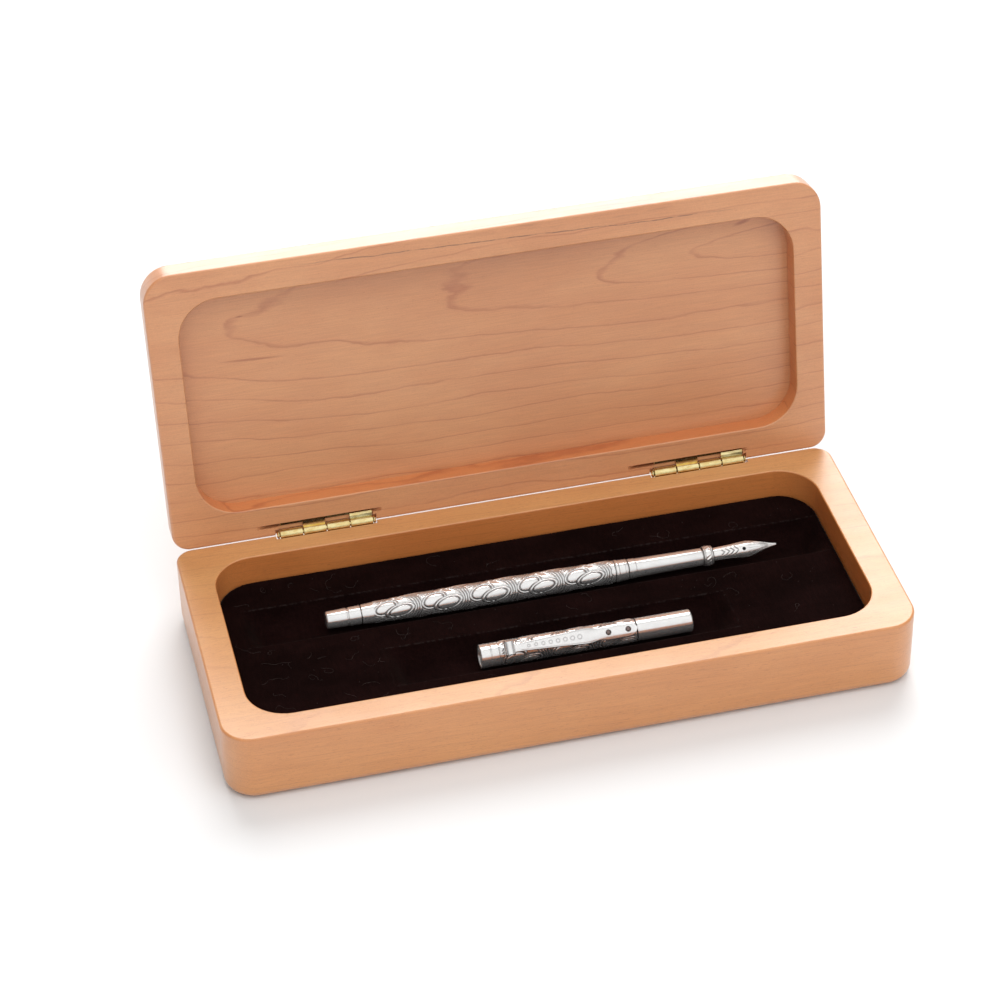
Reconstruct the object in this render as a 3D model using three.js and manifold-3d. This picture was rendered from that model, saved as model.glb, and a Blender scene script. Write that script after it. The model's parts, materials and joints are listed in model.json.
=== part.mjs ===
// Fountain pen presentation case: a wooden box with a kerf-hinged lid, a velvet-covered insert with two
// troughs, and the silver fountain pen and its cap that lie in them.
// Millimetres, +Z up. The origin is the centre of the base's footprint, on the surface it stands on.
// X runs along the length, -Y is the front, +Y the hinged back. The lid is drawn standing open on its stop.

import * as THREE from 'three';
import { mergeVertices } from 'three/addons/utils/BufferGeometryUtils.js';
import Module from 'manifold-3d';

const wasm = await Module();
wasm.setup();

// ---------------------------------------------------------------- driving dimensions

const gap = 0.3; // clearance left between neighbouring pieces

const box = {
  length: 205, depth: 88.4, baseHeight: 23, lidHeight: 11,
  frontCorner: 9, backCorner: 5.2, // vertical corner radii
  edgeRound: 3.5, // bottom edges of the base, top edges of the lid
  rimRound: 0.8, // edges where base and lid meet
};
const tray = { front: 8.7, back: 8.4, side: 9.4, corner: 12, floor: 3.6 };
const recess = { front: 9.3, back: 10, side: 9.1, corner: 12.3, depth: 6.5 };
const lidAxis = { y: 43.9, z: box.baseHeight + gap / 2, openDeg: 101.8 };

const insert = { top: 14.2, pile: 0.6, troughRadius: 9.25, troughDepth: 5.6 };
const troughs = [
  { y: 13.4, from: -87, to: 91 }, // pen
  { y: -13.8, from: -49, to: 54 }, // cap
];

const hinge = {
  barrelRadius: 1.5, boreRadius: 1.0, pinRadius: 0.7, headRadius: 1.25, headLength: 0.7,
  knuckles: 4, knuckleLength: 6.85, knuckleGap: 0.35, leaf: 0.6,
  bladeDepth: 3.2, kerfFromBack: 3.4, kerfWidth: 1.2, kerfDiscRadius: 32, kerfChord: 38.7, // lid side
  tabLow: gap / 2, // underside of the lid leaf's tabs over the hinge axis
  footY: -1.2, footTop: 1.85, footEnd: 4.2, footHalf: 12.5, // base side, from the hinge axis
};
hinge.length = hinge.knuckles * hinge.knuckleLength + (hinge.knuckles - 1) * hinge.knuckleGap;
const hinges = [
  { name: 'left_hinge', barrelX: -56, kerfX: -57.7 },
  { name: 'right_hinge', barrelX: 61, kerfX: 57.7 },
];

// Lengths along the pen are measured from the closed end of the barrel, radii from the pen's axis.
const pen = {
  x: -62.8, y: 13.4, z: 12.7, turnDeg: 43, // the nib leans this far from straight up towards the front
  plugLength: 10.4, barrelEnd: 88.2, ringEnd: 92.4, stepEnd: 95.3, sectionEnd: 115.8,
  collarStart: 116.1, collarEnd: 119.3, nibTip: 139.7,
  barrelBore: 2.55, spigotRadius: 2.25, sectionBore: 1.8, nibSeat: 2.35, converterRadius: 1.5,
};

// Lengths along the cap are measured from its mouth.
const cap = {
  x: -22.6, y: -14.1, z: 12.5, turnDeg: 40, // the clip leans this far from straight up towards the front
  tubeEnd: 46.9, crownStart: 47.2, crownEnd: 64.1, wall: 0.35, linerStart: 27,
  mouthRadius: 3.6, crownRadius: 3.45,
};
const clip = {
  rollX: 8.2, rollRadius: 1.6, rollHeight: 5.5, rollWidth: 4.1, armHeight: 5.0, thickness: 0.55,
  waistX: 35.4, rootEnd: 47.0, plateInner: 3.9, plateOuter: 4.45, rivets: [38.2, 44.2],
  holeRadius: 1.0, rivetRadius: 0.7,
};

// ---------------------------------------------------------------- materials

function material(color, roughness, metalness) {
  return new THREE.MeshStandardMaterial({ color, roughness, metalness });
}
const wood = material(0xd9a273, 0.55, 0);
const lidWood = material(0xcf9468, 0.55, 0);
const velvet = material(0x0b0708, 0.95, 0);
const core = material(0x3a3634, 0.9, 0);
const brass = material(0xc8a24a, 0.28, 1);
const silver = material(0xd9dadc, 0.16, 1);
const blackened = material(0x2a2624, 0.4, 1);
const blackPlastic = material(0x141416, 0.35, 0);
const clearPlastic = material(0xb9c2c8, 0.2, 0);

// ---------------------------------------------------------------- solids

// Signed volume of an indexed triangle list: negative when its faces point inwards.
function signedVolume(vertices, triangles) {
  const [a, b, c] = [new THREE.Vector3(), new THREE.Vector3(), new THREE.Vector3()];
  let sum = 0;
  for (let i = 0; i < triangles.length; i += 3) {
    a.fromArray(vertices, 3 * triangles[i]);
    b.fromArray(vertices, 3 * triangles[i + 1]);
    c.fromArray(vertices, 3 * triangles[i + 2]);
    sum += a.dot(b.cross(c)) / 6;
  }
  return sum;
}

// A three.js geometry as a manifold solid: shared vertices merged, collapsed triangles dropped, faces out.
function solid(geometry) {
  geometry.deleteAttribute('normal');
  geometry.deleteAttribute('uv');
  const merged = mergeVertices(geometry, 1e-4);
  const vertProperties = new Float32Array(merged.attributes.position.array);
  const kept = [];
  for (let i = 0; i < merged.index.count; i += 3) {
    const [a, b, c] = [0, 1, 2].map((k) => merged.index.getX(i + k));
    if (a !== b && b !== c && c !== a) kept.push(a, b, c);
  }
  if (signedVolume(vertProperties, kept) < 0) kept.reverse();
  const triVerts = new Uint32Array(kept);
  return new wasm.Manifold(new wasm.Mesh({ numProp: 3, vertProperties, triVerts }));
}

function named(name, shape, look) {
  const { vertProperties, triVerts } = shape.getMesh();
  const geometry = new THREE.BufferGeometry();
  geometry.setAttribute('position', new THREE.BufferAttribute(vertProperties, 3));
  geometry.setIndex(new THREE.BufferAttribute(triVerts, 1));
  geometry.computeVertexNormals();
  const mesh = new THREE.Mesh(geometry, look);
  mesh.name = name;
  return mesh;
}

// Rectangle with round corners, one radius at the front (low Y) and one at the back.
function roundedPlan(x0, x1, y0, y1, frontRadius, backRadius = frontRadius) {
  const shape = new THREE.Shape();
  const quarter = Math.PI / 2;
  shape.absarc(x0 + frontRadius, y0 + frontRadius, frontRadius, 2 * quarter, 3 * quarter, false);
  shape.absarc(x1 - frontRadius, y0 + frontRadius, frontRadius, 3 * quarter, 4 * quarter, false);
  shape.absarc(x1 - backRadius, y1 - backRadius, backRadius, 0, quarter, false);
  shape.absarc(x0 + backRadius, y1 - backRadius, backRadius, quarter, 2 * quarter, false);
  return shape;
}

// A plan extruded from z0 to z1, with its horizontal edges rounded inside the plan.
function slab(plan, z0, z1, round = 0, curveSegments = 6) {
  const geometry = new THREE.ExtrudeGeometry(plan, {
    depth: z1 - z0 - 2 * round, curveSegments, bevelEnabled: round > 0,
    bevelThickness: round, bevelSize: round, bevelOffset: -round, bevelSegments: 3,
  });
  geometry.translate(0, 0, z0 + round);
  return solid(geometry);
}

function block(x0, x1, y0, y1, z0, z1) {
  const geometry = new THREE.BoxGeometry(x1 - x0, y1 - y0, z1 - z0);
  geometry.translate((x0 + x1) / 2, (y0 + y1) / 2, (z0 + z1) / 2);
  return solid(geometry);
}

// A profile of [x, radius] points turned about the X axis. It starts and ends on the axis or closes on itself.
function turned(profile, segments = 24) {
  const points = profile.map(([x, radius]) => new THREE.Vector2(radius, x));
  const geometry = new THREE.LatheGeometry(points, segments);
  geometry.rotateZ(-Math.PI / 2);
  return solid(geometry);
}

function rod(x0, x1, radius, segments = 24) {
  return turned([[x0, 0], [x0, radius], [x1, radius], [x1, 0]], segments);
}

function tube(x0, x1, outer, inner, segments = 24) {
  return turned([[x0, inner], [x0, outer], [x1, outer], [x1, inner], [x0, inner]], segments);
}

// A plate outline in the YZ plane given by points, extruded along X from x0 to x1.
function sectionAlongX(points, x0, x1) {
  const shape = new THREE.Shape(points.map(([y, z]) => new THREE.Vector2(y, z)));
  const geometry = new THREE.ExtrudeGeometry(shape, { depth: x1 - x0, bevelEnabled: false });
  geometry.rotateX(Math.PI / 2).rotateZ(Math.PI / 2).translate(x0, 0, 0);
  return solid(geometry);
}

// A side profile in the XZ plane given by points, extruded across Y about y = 0.
function profileAcrossY(points, width) {
  const shape = new THREE.Shape(points.map(([x, z]) => new THREE.Vector2(x, z)));
  const geometry = new THREE.ExtrudeGeometry(shape, { depth: width, bevelEnabled: false });
  geometry.rotateX(Math.PI / 2).translate(0, width / 2, 0);
  return solid(geometry);
}

// ---------------------------------------------------------------- hinge cuts in the wood

// All hinge cuts are drawn in a frame whose origin is on the hinge axis.
function barrelGroove(place) {
  const half = hinge.length / 2 + hinge.headLength + 2 * gap;
  return rod(place.barrelX - half, place.barrelX + half, hinge.barrelRadius + gap + 0.05);
}

// Cuts in the lid: a round-bottomed saw kerf for the blade, a shallow mortise for its tabs and the groove.
function lidCuts(place) {
  const rest = Math.sqrt(hinge.kerfDiscRadius ** 2 - (hinge.kerfChord / 2) ** 2);
  const disc = new THREE.CylinderGeometry(
    hinge.kerfDiscRadius, hinge.kerfDiscRadius, hinge.kerfWidth, 64);
  disc.translate(place.kerfX, kerfY(), gap / 2 - rest);
  const half = hinge.length / 2 + gap;
  const mortise = block(
    place.barrelX - half, place.barrelX + half, kerfY(), 2, 0, hinge.tabLow + hinge.leaf + gap);
  return solid(disc).add(mortise).add(barrelGroove(place));
}

// Cuts in the base: the groove, and below it a straight slot for the foot of the leaf.
function baseCuts(place) {
  const half = hinge.footHalf + gap;
  const thick = hinge.leaf / 2 + gap;
  const slot = block(
    place.barrelX - half, place.barrelX + half, hinge.footY - thick, hinge.footY + thick,
    -hinge.footEnd - gap, 0);
  return slot.add(barrelGroove(place));
}

function kerfY() {
  return box.depth / 2 - hinge.kerfFromBack - lidAxis.y;
}

// ---------------------------------------------------------------- wooden box

function makeBase() {
  const x = box.length / 2;
  const y = box.depth / 2;
  const plan = roundedPlan(-x, x, -y, y, box.frontCorner, box.backCorner);
  const spare = 2 * box.edgeRound;
  const roundedBelow = slab(plan, 0, box.baseHeight + spare, box.edgeRound);
  const roundedAbove = slab(plan, -spare, box.baseHeight, box.rimRound);
  const trayPlan = roundedPlan(-x + tray.side, x - tray.side, -y + tray.front, y - tray.back, tray.corner);
  let base = roundedBelow.intersect(roundedAbove).subtract(slab(trayPlan, tray.floor, box.baseHeight + spare));
  for (const place of hinges) {
    base = base.subtract(baseCuts(place).translate([0, lidAxis.y, lidAxis.z]));
  }
  return named('base', base, wood);
}

// The lid is drawn closed, with the hinge axis as its origin, so its group can swing it open.
function makeLid() {
  const x = box.length / 2;
  const front = -box.depth / 2 - lidAxis.y;
  const back = box.depth / 2 - lidAxis.y;
  const underside = gap / 2;
  const top = underside + box.lidHeight;
  const spare = 2 * box.edgeRound;
  const plan = roundedPlan(-x, x, front, back, box.frontCorner, box.backCorner);
  const roundedAbove = slab(plan, underside - spare, top, box.edgeRound);
  const roundedBelow = slab(plan, underside, top + spare, box.rimRound);
  const recessPlan = roundedPlan(
    -x + recess.side, x - recess.side, front + recess.front, back - recess.back, recess.corner);
  const hollow = slab(recessPlan, underside - spare, underside + recess.depth);
  let lid = roundedAbove.intersect(roundedBelow).subtract(hollow);
  for (const place of hinges) lid = lid.subtract(lidCuts(place));
  return named('lid', lid, lidWood);
}

// ---------------------------------------------------------------- hinges

function knuckleStart(place, index) {
  return place.barrelX - hinge.length / 2 + index * (hinge.knuckleLength + hinge.knuckleGap);
}

function knuckle(x0) {
  return tube(x0, x0 + hinge.knuckleLength, hinge.barrelRadius, hinge.boreRadius, 20);
}

// Lid leaf: every second knuckle of the barrel, a tab from each to the kerf, and the blade in the kerf.
function makeLidLeaf(place) {
  const y = kerfY();
  const t = hinge.leaf / 2;
  const bladeTop = t + gap;
  const longHalf = hinge.length / 2;
  const shortHalf = longHalf - 5;
  const bladeShape = new THREE.Shape([
    new THREE.Vector2(place.barrelX - longHalf, bladeTop),
    new THREE.Vector2(place.barrelX + longHalf, bladeTop),
    new THREE.Vector2(place.barrelX + shortHalf, bladeTop + hinge.bladeDepth),
    new THREE.Vector2(place.barrelX - shortHalf, bladeTop + hinge.bladeDepth),
  ]);
  const bladeGeometry = new THREE.ExtrudeGeometry(bladeShape, { depth: hinge.leaf, bevelEnabled: false });
  bladeGeometry.rotateX(Math.PI / 2).translate(0, y + t, 0);
  let leaf = solid(bladeGeometry);
  const wallMiddle = -(hinge.barrelRadius + hinge.boreRadius) / 2;
  const low = hinge.tabLow;
  const high = low + hinge.leaf;
  const bend = [[y - t, low], [wallMiddle, low], [wallMiddle, high], [y + t, high], [y + t, bladeTop + t],
    [y - t, bladeTop + t]];
  for (let index = 1; index < hinge.knuckles; index += 2) {
    const x0 = knuckleStart(place, index);
    leaf = leaf.add(sectionAlongX(bend, x0, x0 + hinge.knuckleLength)).add(knuckle(x0));
  }
  return leaf;
}

// Base leaf: the other knuckles, a tab down the front of each, and the foot that joins the tabs in the slot.
function makeBaseLeaf(place) {
  const y0 = hinge.footY - hinge.leaf / 2;
  const y1 = hinge.footY + hinge.leaf / 2;
  const { footHalf } = hinge;
  let leaf = block(place.barrelX - footHalf, place.barrelX + footHalf, y0, y1, -hinge.footEnd, -hinge.footTop);
  for (let index = 0; index < hinge.knuckles; index += 2) {
    const x0 = knuckleStart(place, index);
    const tabStart = Math.max(x0, place.barrelX - footHalf);
    leaf = leaf.add(block(tabStart, x0 + hinge.knuckleLength, y0, y1, -hinge.footTop - 0.2, 0));
    leaf = leaf.add(knuckle(x0));
  }
  return leaf;
}

function makeHingePin(place) {
  const half = hinge.length / 2 + gap;
  const end = half + hinge.headLength;
  const shoulder = end - hinge.headLength / 2;
  return turned([
    [-end, 0], [-end, hinge.headRadius * 0.7], [-shoulder, hinge.headRadius], [-half, hinge.headRadius],
    [-half, hinge.pinRadius], [half, hinge.pinRadius],
    [half, hinge.headRadius], [shoulder, hinge.headRadius], [end, hinge.headRadius * 0.7], [end, 0],
  ], 16).translate([place.barrelX, 0, 0]);
}

// ---------------------------------------------------------------- insert

function troughCutter(trough, grow) {
  const radius = insert.troughRadius;
  const centre = insert.top - insert.troughDepth + radius;
  return rod(trough.from - grow, trough.to + grow, radius + grow, 48).translate([0, trough.y, centre]);
}

function insertPlan() {
  const x = box.length / 2 - tray.side - gap;
  const front = -box.depth / 2 + tray.front + gap;
  const back = box.depth / 2 - tray.back - gap;
  return roundedPlan(-x, x, front, back, tray.corner - gap);
}

function makeInsertCore() {
  let shape = slab(insertPlan(), tray.floor + gap, insert.top - insert.pile - gap);
  for (const trough of troughs) shape = shape.subtract(troughCutter(trough, insert.pile + gap));
  return named('insert_core', shape, core);
}

function makeVelvetLining() {
  const plan = insertPlan();
  const cover = slab(plan, insert.top - insert.pile, insert.top);
  const below = slab(plan, tray.floor + gap, insert.top);
  let shape = cover;
  for (const trough of troughs) shape = shape.add(troughCutter(trough, insert.pile).intersect(below));
  for (const trough of troughs) shape = shape.subtract(troughCutter(trough, 0));
  return named('velvet_lining', shape, velvet);
}

// ---------------------------------------------------------------- pen

function makeBarrel() {
  const start = pen.plugLength + gap;
  const outline = [
    [start, 2.95], [13.2, 3.2], [19.2, 3.35], [29.2, 3.6], [43.2, 3.72], [59.2, 3.75], [73.2, 3.65], [81.2, 3.55],
    [pen.barrelEnd, 3.45],
  ];
  const bore = [
    [pen.barrelEnd, pen.barrelBore], [18.2, pen.barrelBore], [16.7, 1.9], [start, 1.9], [start, 2.95],
  ];
  return named('pen_barrel', turned([...outline, ...bore]), silver);
}

function makeBarrelPlug() {
  const groove = 6.5;
  return named('barrel_end_plug', turned([
    [0, 0], [0, 2.5], [0.25, 2.7], [groove - 0.25, 2.82], [groove, 2.6], [groove + 0.25, 2.84],
    [pen.plugLength, 2.92], [pen.plugLength, 1.55], [16.2, 1.55], [16.2, 0],
  ]), silver);
}

function makeTrimRing() {
  const start = pen.barrelEnd + gap;
  const middle = start + 1.1;
  return named('barrel_trim_ring', turned([
    [start, pen.barrelBore], [start, 3.4], [middle, 3.5], [middle + 0.4, 3.3], [pen.ringEnd - 0.4, 3.3],
    [pen.ringEnd, 3.2], [pen.ringEnd, pen.barrelBore], [start, pen.barrelBore],
  ]), silver);
}

// Grip section, with the spigot that screws into the barrel and the seat that holds nib and feed.
function makeSection() {
  const spigotStart = 79.2;
  const shoulder = pen.ringEnd + gap;
  const seatStart = 106.7;
  return named('grip_section', turned([
    [spigotStart, pen.sectionBore], [spigotStart, pen.spigotRadius], [shoulder, pen.spigotRadius],
    [shoulder, 3.1], [pen.stepEnd - 0.3, 3.1], [pen.stepEnd, 2.95], [pen.sectionEnd - 10, 2.8],
    [pen.sectionEnd, 2.72], [pen.sectionEnd, pen.nibSeat], [seatStart, pen.nibSeat],
    [seatStart, pen.sectionBore], [spigotStart, pen.sectionBore],
  ]), silver);
}

function makeSectionCollar() {
  const { collarStart: start, collarEnd: end } = pen;
  return named('section_collar', turned([
    [start, pen.nibSeat], [start, 2.9], [start + 0.6, 3.05], [start + 0.9, 3.2], [end - 0.9, 3.2],
    [end - 0.6, 3.0], [end, 2.75], [end, pen.nibSeat], [start, pen.nibSeat],
  ]), silver);
}

// The nib is a bud-shaped thin shell cut to the nib's outline seen from above.
function makeNib() {
  const start = pen.collarEnd - 9;
  const shoulder = 130.2;
  const taper = 134.2;
  const shell = turned([
    [start, 1.75], [start, 2.05], [pen.collarEnd, 2.1], [shoulder, 2.6], [taper, 1.75], [pen.nibTip, 0.4],
    [pen.nibTip, 0.05], [taper, 1.4], [shoulder, 2.28], [pen.collarEnd, 1.78], [start, 1.75],
  ], 32);
  const outline = new THREE.Shape();
  outline.moveTo(start, -2.2);
  outline.lineTo(pen.collarEnd, -2.2);
  outline.quadraticCurveTo(shoulder - 3, -2.7, shoulder, -2.6);
  outline.quadraticCurveTo(taper - 1, -1.1, pen.nibTip, -0.35);
  outline.lineTo(pen.nibTip, 0.35);
  outline.quadraticCurveTo(taper - 1, 1.1, shoulder, 2.6);
  outline.quadraticCurveTo(shoulder - 3, 2.7, pen.collarEnd, 2.2);
  outline.lineTo(start, 2.2);
  const breather = new THREE.Path();
  breather.absarc(128.8, 0, 0.6, 0, 2 * Math.PI, true);
  outline.holes.push(breather);
  return named('nib', shell.intersect(slab(outline, -0.2, 3, 0, 5)), silver);
}

function makeFeed() {
  return named('feed', turned([
    [107.2, 0], [107.2, 1.4], [pen.collarEnd, 1.42], [127.2, 1.7], [130.5, 1.4], [133.4, 0.7], [134, 0],
  ], 20), blackPlastic);
}

// Ink converter: reservoir tube open at both ends, the piston in it and the twist knob behind it.
function makeConverter() {
  const start = 52.7;
  const end = 106.2;
  const bore = pen.converterRadius - 0.4;
  const piston = turned([
    [start + 4, 0], [start + 4, 0.4], [71.2, 0.4], [71.2, bore - gap], [75.2, bore - gap], [75.2, 0],
  ], 16);
  return [
    named('converter_tube', tube(start, end, pen.converterRadius, bore, 20), clearPlastic),
    named('converter_piston', piston, blackPlastic),
    named('converter_knob', rod(start - 13, start - gap, pen.converterRadius + 0.3, 20), blackPlastic),
  ];
}

// ---------------------------------------------------------------- cap

// A short round bar standing on the cap's wall, from height z0 to z1 above the cap's axis.
function upright(x, radius, z0, z1) {
  const geometry = new THREE.CylinderGeometry(radius, radius, z1 - z0, 16);
  geometry.rotateX(Math.PI / 2).translate(x, 0, (z0 + z1) / 2);
  return solid(geometry);
}

function makeCapTube() {
  const rings = [3.1, 5.6];
  const outer = [[0, cap.mouthRadius]];
  for (const x of rings) {
    outer.push([x - 0.3, cap.mouthRadius], [x, cap.mouthRadius - 0.15], [x + 0.3, cap.mouthRadius]);
  }
  outer.push([cap.tubeEnd, cap.crownRadius]);
  let shape = turned([
    ...outer, [cap.tubeEnd, cap.crownRadius - cap.wall], [0, cap.mouthRadius - cap.wall], outer[0]]);
  for (const x of clip.rivets) shape = shape.subtract(upright(x, clip.holeRadius, 2, 5));
  return named('cap_tube', shape, silver);
}

function makeCapCrown() {
  const { crownStart: start, crownEnd: end, crownRadius: radius, wall } = cap;
  return named('cap_crown', turned([
    [start, radius - wall], [start, radius], [end - 0.5, radius], [end, radius - 0.5], [end, 0],
    [end - 1, 0], [end - 1, radius - wall], [start, radius - wall],
  ]), silver);
}

// Inner cap that seals round the nib: a cup open towards the cap's mouth.
function makeCapLiner() {
  const end = cap.crownEnd - 1.6;
  const outer = cap.crownRadius - cap.wall - gap;
  const inner = outer - 0.3;
  return named('cap_liner', turned([
    [cap.linerStart, inner], [cap.linerStart, outer], [end, outer], [end, 0], [end - 1, 0],
    [end - 1, inner], [cap.linerStart, inner],
  ]), blackPlastic);
}

// Spring clip: a root plate curved round the cap, a waist, a leaf-shaped arm and a rolled free end.
function makeClip() {
  const plan = new THREE.Shape();
  plan.moveTo(clip.rollX, -1.3);
  plan.quadraticCurveTo(24, -2.1, 30, -2.4);
  plan.quadraticCurveTo(33, -2.4, clip.waistX, -1.9);
  plan.quadraticCurveTo(37, -1.9, 38.5, -2.3);
  plan.lineTo(clip.rootEnd - 2.5, -2.3);
  plan.quadraticCurveTo(clip.rootEnd, -2, clip.rootEnd, 0);
  plan.quadraticCurveTo(clip.rootEnd, 2, clip.rootEnd - 2.5, 2.3);
  plan.lineTo(38.5, 2.3);
  plan.quadraticCurveTo(37, 1.9, clip.waistX, 1.9);
  plan.quadraticCurveTo(33, 2.4, 30, 2.4);
  plan.quadraticCurveTo(24, 2.1, clip.rollX, 1.3);
  const cutter = slab(plan, 1, 8, 0, 4);

  const plate = tube(clip.waistX - 1, clip.rootEnd, clip.plateOuter, clip.plateInner, 32);
  const low = clip.plateInner;
  const high = clip.armHeight;
  const arm = profileAcrossY([
    [clip.rollX, high], [clip.waistX - 6, high - 0.2], [clip.waistX, low], [clip.waistX + 1, low],
    [clip.waistX + 1, low + clip.thickness], [clip.waistX - 5.5, high - 0.2 + clip.thickness],
    [clip.rollX, high + clip.thickness],
  ], 8);
  const roll = new THREE.CylinderGeometry(clip.rollRadius, clip.rollRadius, clip.rollWidth, 16);
  roll.translate(clip.rollX, 0, clip.rollHeight);
  let shape = plate.add(arm).intersect(cutter).add(solid(roll));
  for (const x of clip.rivets) shape = shape.subtract(upright(x, clip.holeRadius, 2, 5));
  return named('clip', shape, silver);
}

function makeRivets() {
  const names = ['clip_rivet_front', 'clip_rivet_rear'];
  const foot = cap.mouthRadius - cap.wall;
  return clip.rivets.map((x, i) => {
    const shape = upright(x, clip.rivetRadius, foot, clip.plateOuter + 0.1);
    return named(names[i], shape, blackened);
  });
}

// ---------------------------------------------------------------- assembly

const penCase = new THREE.Group();
penCase.add(makeBase(), makeInsertCore(), makeVelvetLining());

const lidGroup = new THREE.Group();
lidGroup.position.set(0, lidAxis.y, lidAxis.z);
lidGroup.rotation.x = -THREE.MathUtils.degToRad(lidAxis.openDeg);
lidGroup.add(makeLid());

const axisGroup = new THREE.Group();
axisGroup.position.copy(lidGroup.position);

for (const place of hinges) {
  axisGroup.add(named(`${place.name}_base_leaf`, makeBaseLeaf(place), brass));
  axisGroup.add(named(`${place.name}_pin`, makeHingePin(place), brass));
  lidGroup.add(named(`${place.name}_lid_leaf`, makeLidLeaf(place), brass));
}
penCase.add(lidGroup, axisGroup);

const penGroup = new THREE.Group();
penGroup.position.set(pen.x, pen.y, pen.z);
penGroup.rotation.x = THREE.MathUtils.degToRad(pen.turnDeg);
penGroup.add(makeBarrel(), makeBarrelPlug(), makeTrimRing(), makeSection(), makeSectionCollar());
penGroup.add(makeNib(), makeFeed(), ...makeConverter());
penCase.add(penGroup);

const capGroup = new THREE.Group();
capGroup.position.set(cap.x, cap.y, cap.z);
capGroup.rotation.x = THREE.MathUtils.degToRad(cap.turnDeg);
capGroup.add(makeCapTube(), makeCapCrown(), makeCapLiner(), makeClip(), ...makeRivets());
penCase.add(capGroup);

export default penCase;
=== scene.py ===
"""Looks of the fountain pen case: a wooden box with a hinged lid, a velvet insert, a silver pen and its cap.

Shapes are written in millimetres in each part's own frame and scaled once, when a mesh is made.
Local frames: the lid is drawn closed with the hinge axis as its origin. The pen and the cap are drawn along X
with their axis as the X axis, the pen from the closed end of its barrel and the cap from its mouth.
"""

import json
import math

import bmesh
import bpy
import numpy as np
from mathutils import Matrix, Vector, kdtree, noise


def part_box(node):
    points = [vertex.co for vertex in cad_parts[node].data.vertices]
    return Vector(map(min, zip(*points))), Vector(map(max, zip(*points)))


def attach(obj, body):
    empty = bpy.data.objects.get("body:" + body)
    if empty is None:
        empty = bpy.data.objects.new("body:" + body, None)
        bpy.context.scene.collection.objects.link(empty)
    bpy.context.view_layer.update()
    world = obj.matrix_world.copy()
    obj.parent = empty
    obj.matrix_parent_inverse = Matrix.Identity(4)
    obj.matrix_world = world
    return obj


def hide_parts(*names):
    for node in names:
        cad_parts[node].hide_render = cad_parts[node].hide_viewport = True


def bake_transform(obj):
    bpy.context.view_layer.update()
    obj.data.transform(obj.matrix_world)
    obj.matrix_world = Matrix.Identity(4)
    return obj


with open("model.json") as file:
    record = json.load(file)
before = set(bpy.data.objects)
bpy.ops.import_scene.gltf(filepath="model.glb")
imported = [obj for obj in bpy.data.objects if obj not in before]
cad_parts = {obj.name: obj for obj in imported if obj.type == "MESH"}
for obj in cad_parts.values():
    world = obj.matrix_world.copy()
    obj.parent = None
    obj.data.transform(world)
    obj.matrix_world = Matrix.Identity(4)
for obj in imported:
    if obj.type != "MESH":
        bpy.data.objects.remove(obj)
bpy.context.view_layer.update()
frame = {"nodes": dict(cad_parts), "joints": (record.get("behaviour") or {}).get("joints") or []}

MM = 0.001

# ---------------------------------------------------------------- driving dimensions, in millimetres

GAP = 0.3  # clearance the CAD model leaves between neighbouring pieces
FRONT_CORNER, BACK_CORNER = 9.0, 5.2  # vertical corner radii of the box
EDGE_ROUND = 3.5  # bottom edges of the base and top edges of the lid
RIM_ROUND = 0.8  # outer edges where base and lid meet
INNER_ROUND = 0.45  # edges of the tray and of the lid's recess
TRAY_CORNER, TRAY_FLOOR = 12.0, 3.6
LID_HEIGHT = 11.0
RECESS_FRONT, RECESS_BACK, RECESS_SIDE, RECESS_CORNER, RECESS_DEPTH = 9.3, 10.0, 9.1, 12.3, 6.5

TROUGH_RADIUS, TROUGH_DEPTH = 9.25, 5.6
TROUGHS = ((13.4, -87.0, 91.0), (-13.8, -49.0, 54.0))  # middle line in Y, start and end in X
VELVET_THICK = 0.55

KNUCKLES, KNUCKLE_LENGTH, KNUCKLE_GAP = 4, 6.85, 0.35
KNUCKLE_OUTER, KNUCKLE_INNER = 1.5, 1.0
PIN_RADIUS, PIN_HEAD_RADIUS, PIN_HEAD_LENGTH = 0.7, 1.25, 0.7
LEAF, BLADE_DEPTH = 0.6, 3.2
FOOT_Y, FOOT_TOP, FOOT_END, FOOT_HALF = -1.2, 1.85, 4.2, 12.5  # base side of a hinge, from its axis
KERF_FROM_BACK, KERF_WIDTH, KERF_RADIUS, KERF_CHORD = 3.4, 1.2, 32.0, 38.7
KERF_SHIFT = {"left_hinge": -1.7, "right_hinge": -3.3}  # middle of the saw cut from the middle of the barrel

PLUG_END, BARREL_END, RING_END, STEP_END = 10.4, 88.2, 92.4, 95.3
SECTION_END, COLLAR_START, COLLAR_END, NIB_TIP = 115.8, 116.1, 119.3, 139.7
NIB_SEAT = 2.35
PEN_TURN = 43.0  # degrees that the nib leans from straight up towards the front

CAP_WALL, CAP_TUBE_END, CAP_CROWN_START, CAP_CROWN_END = 0.35, 46.9, 47.2, 64.1
CAP_MOUTH_RADIUS, CAP_CROWN_RADIUS = 3.6, 3.45
CLIP_ROOT_END, CLIP_THICK, CLIP_PLATE_RADIUS = 47.0, 0.55, 3.9
CLIP_ROLL_X, CLIP_ROLL_HEIGHT, CLIP_ROLL_RADIUS, CLIP_ROLL_HALF_WIDTH = 8.2, 5.5, 1.6, 2.05
RIVETS = (38.2, 44.2)

CHASING_PITCH = 14.6  # length of one unit of the chased ornament
CHASING_ROWS = 3  # rows of units round the barrel
CHASING_RADIUS = 3.55  # radius at which the ornament is laid out
TURNED_SEGMENTS = 144  # facets round a chased part

LINT_PIECES, CURLED_PIECES = 170, 70  # bits of lint on the velvet, and how many of them are curled fibres
LINT_STEP = 0.30
FLOOR_SIZE, FLOOR_DROP = 6000.0, 0.02

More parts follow.
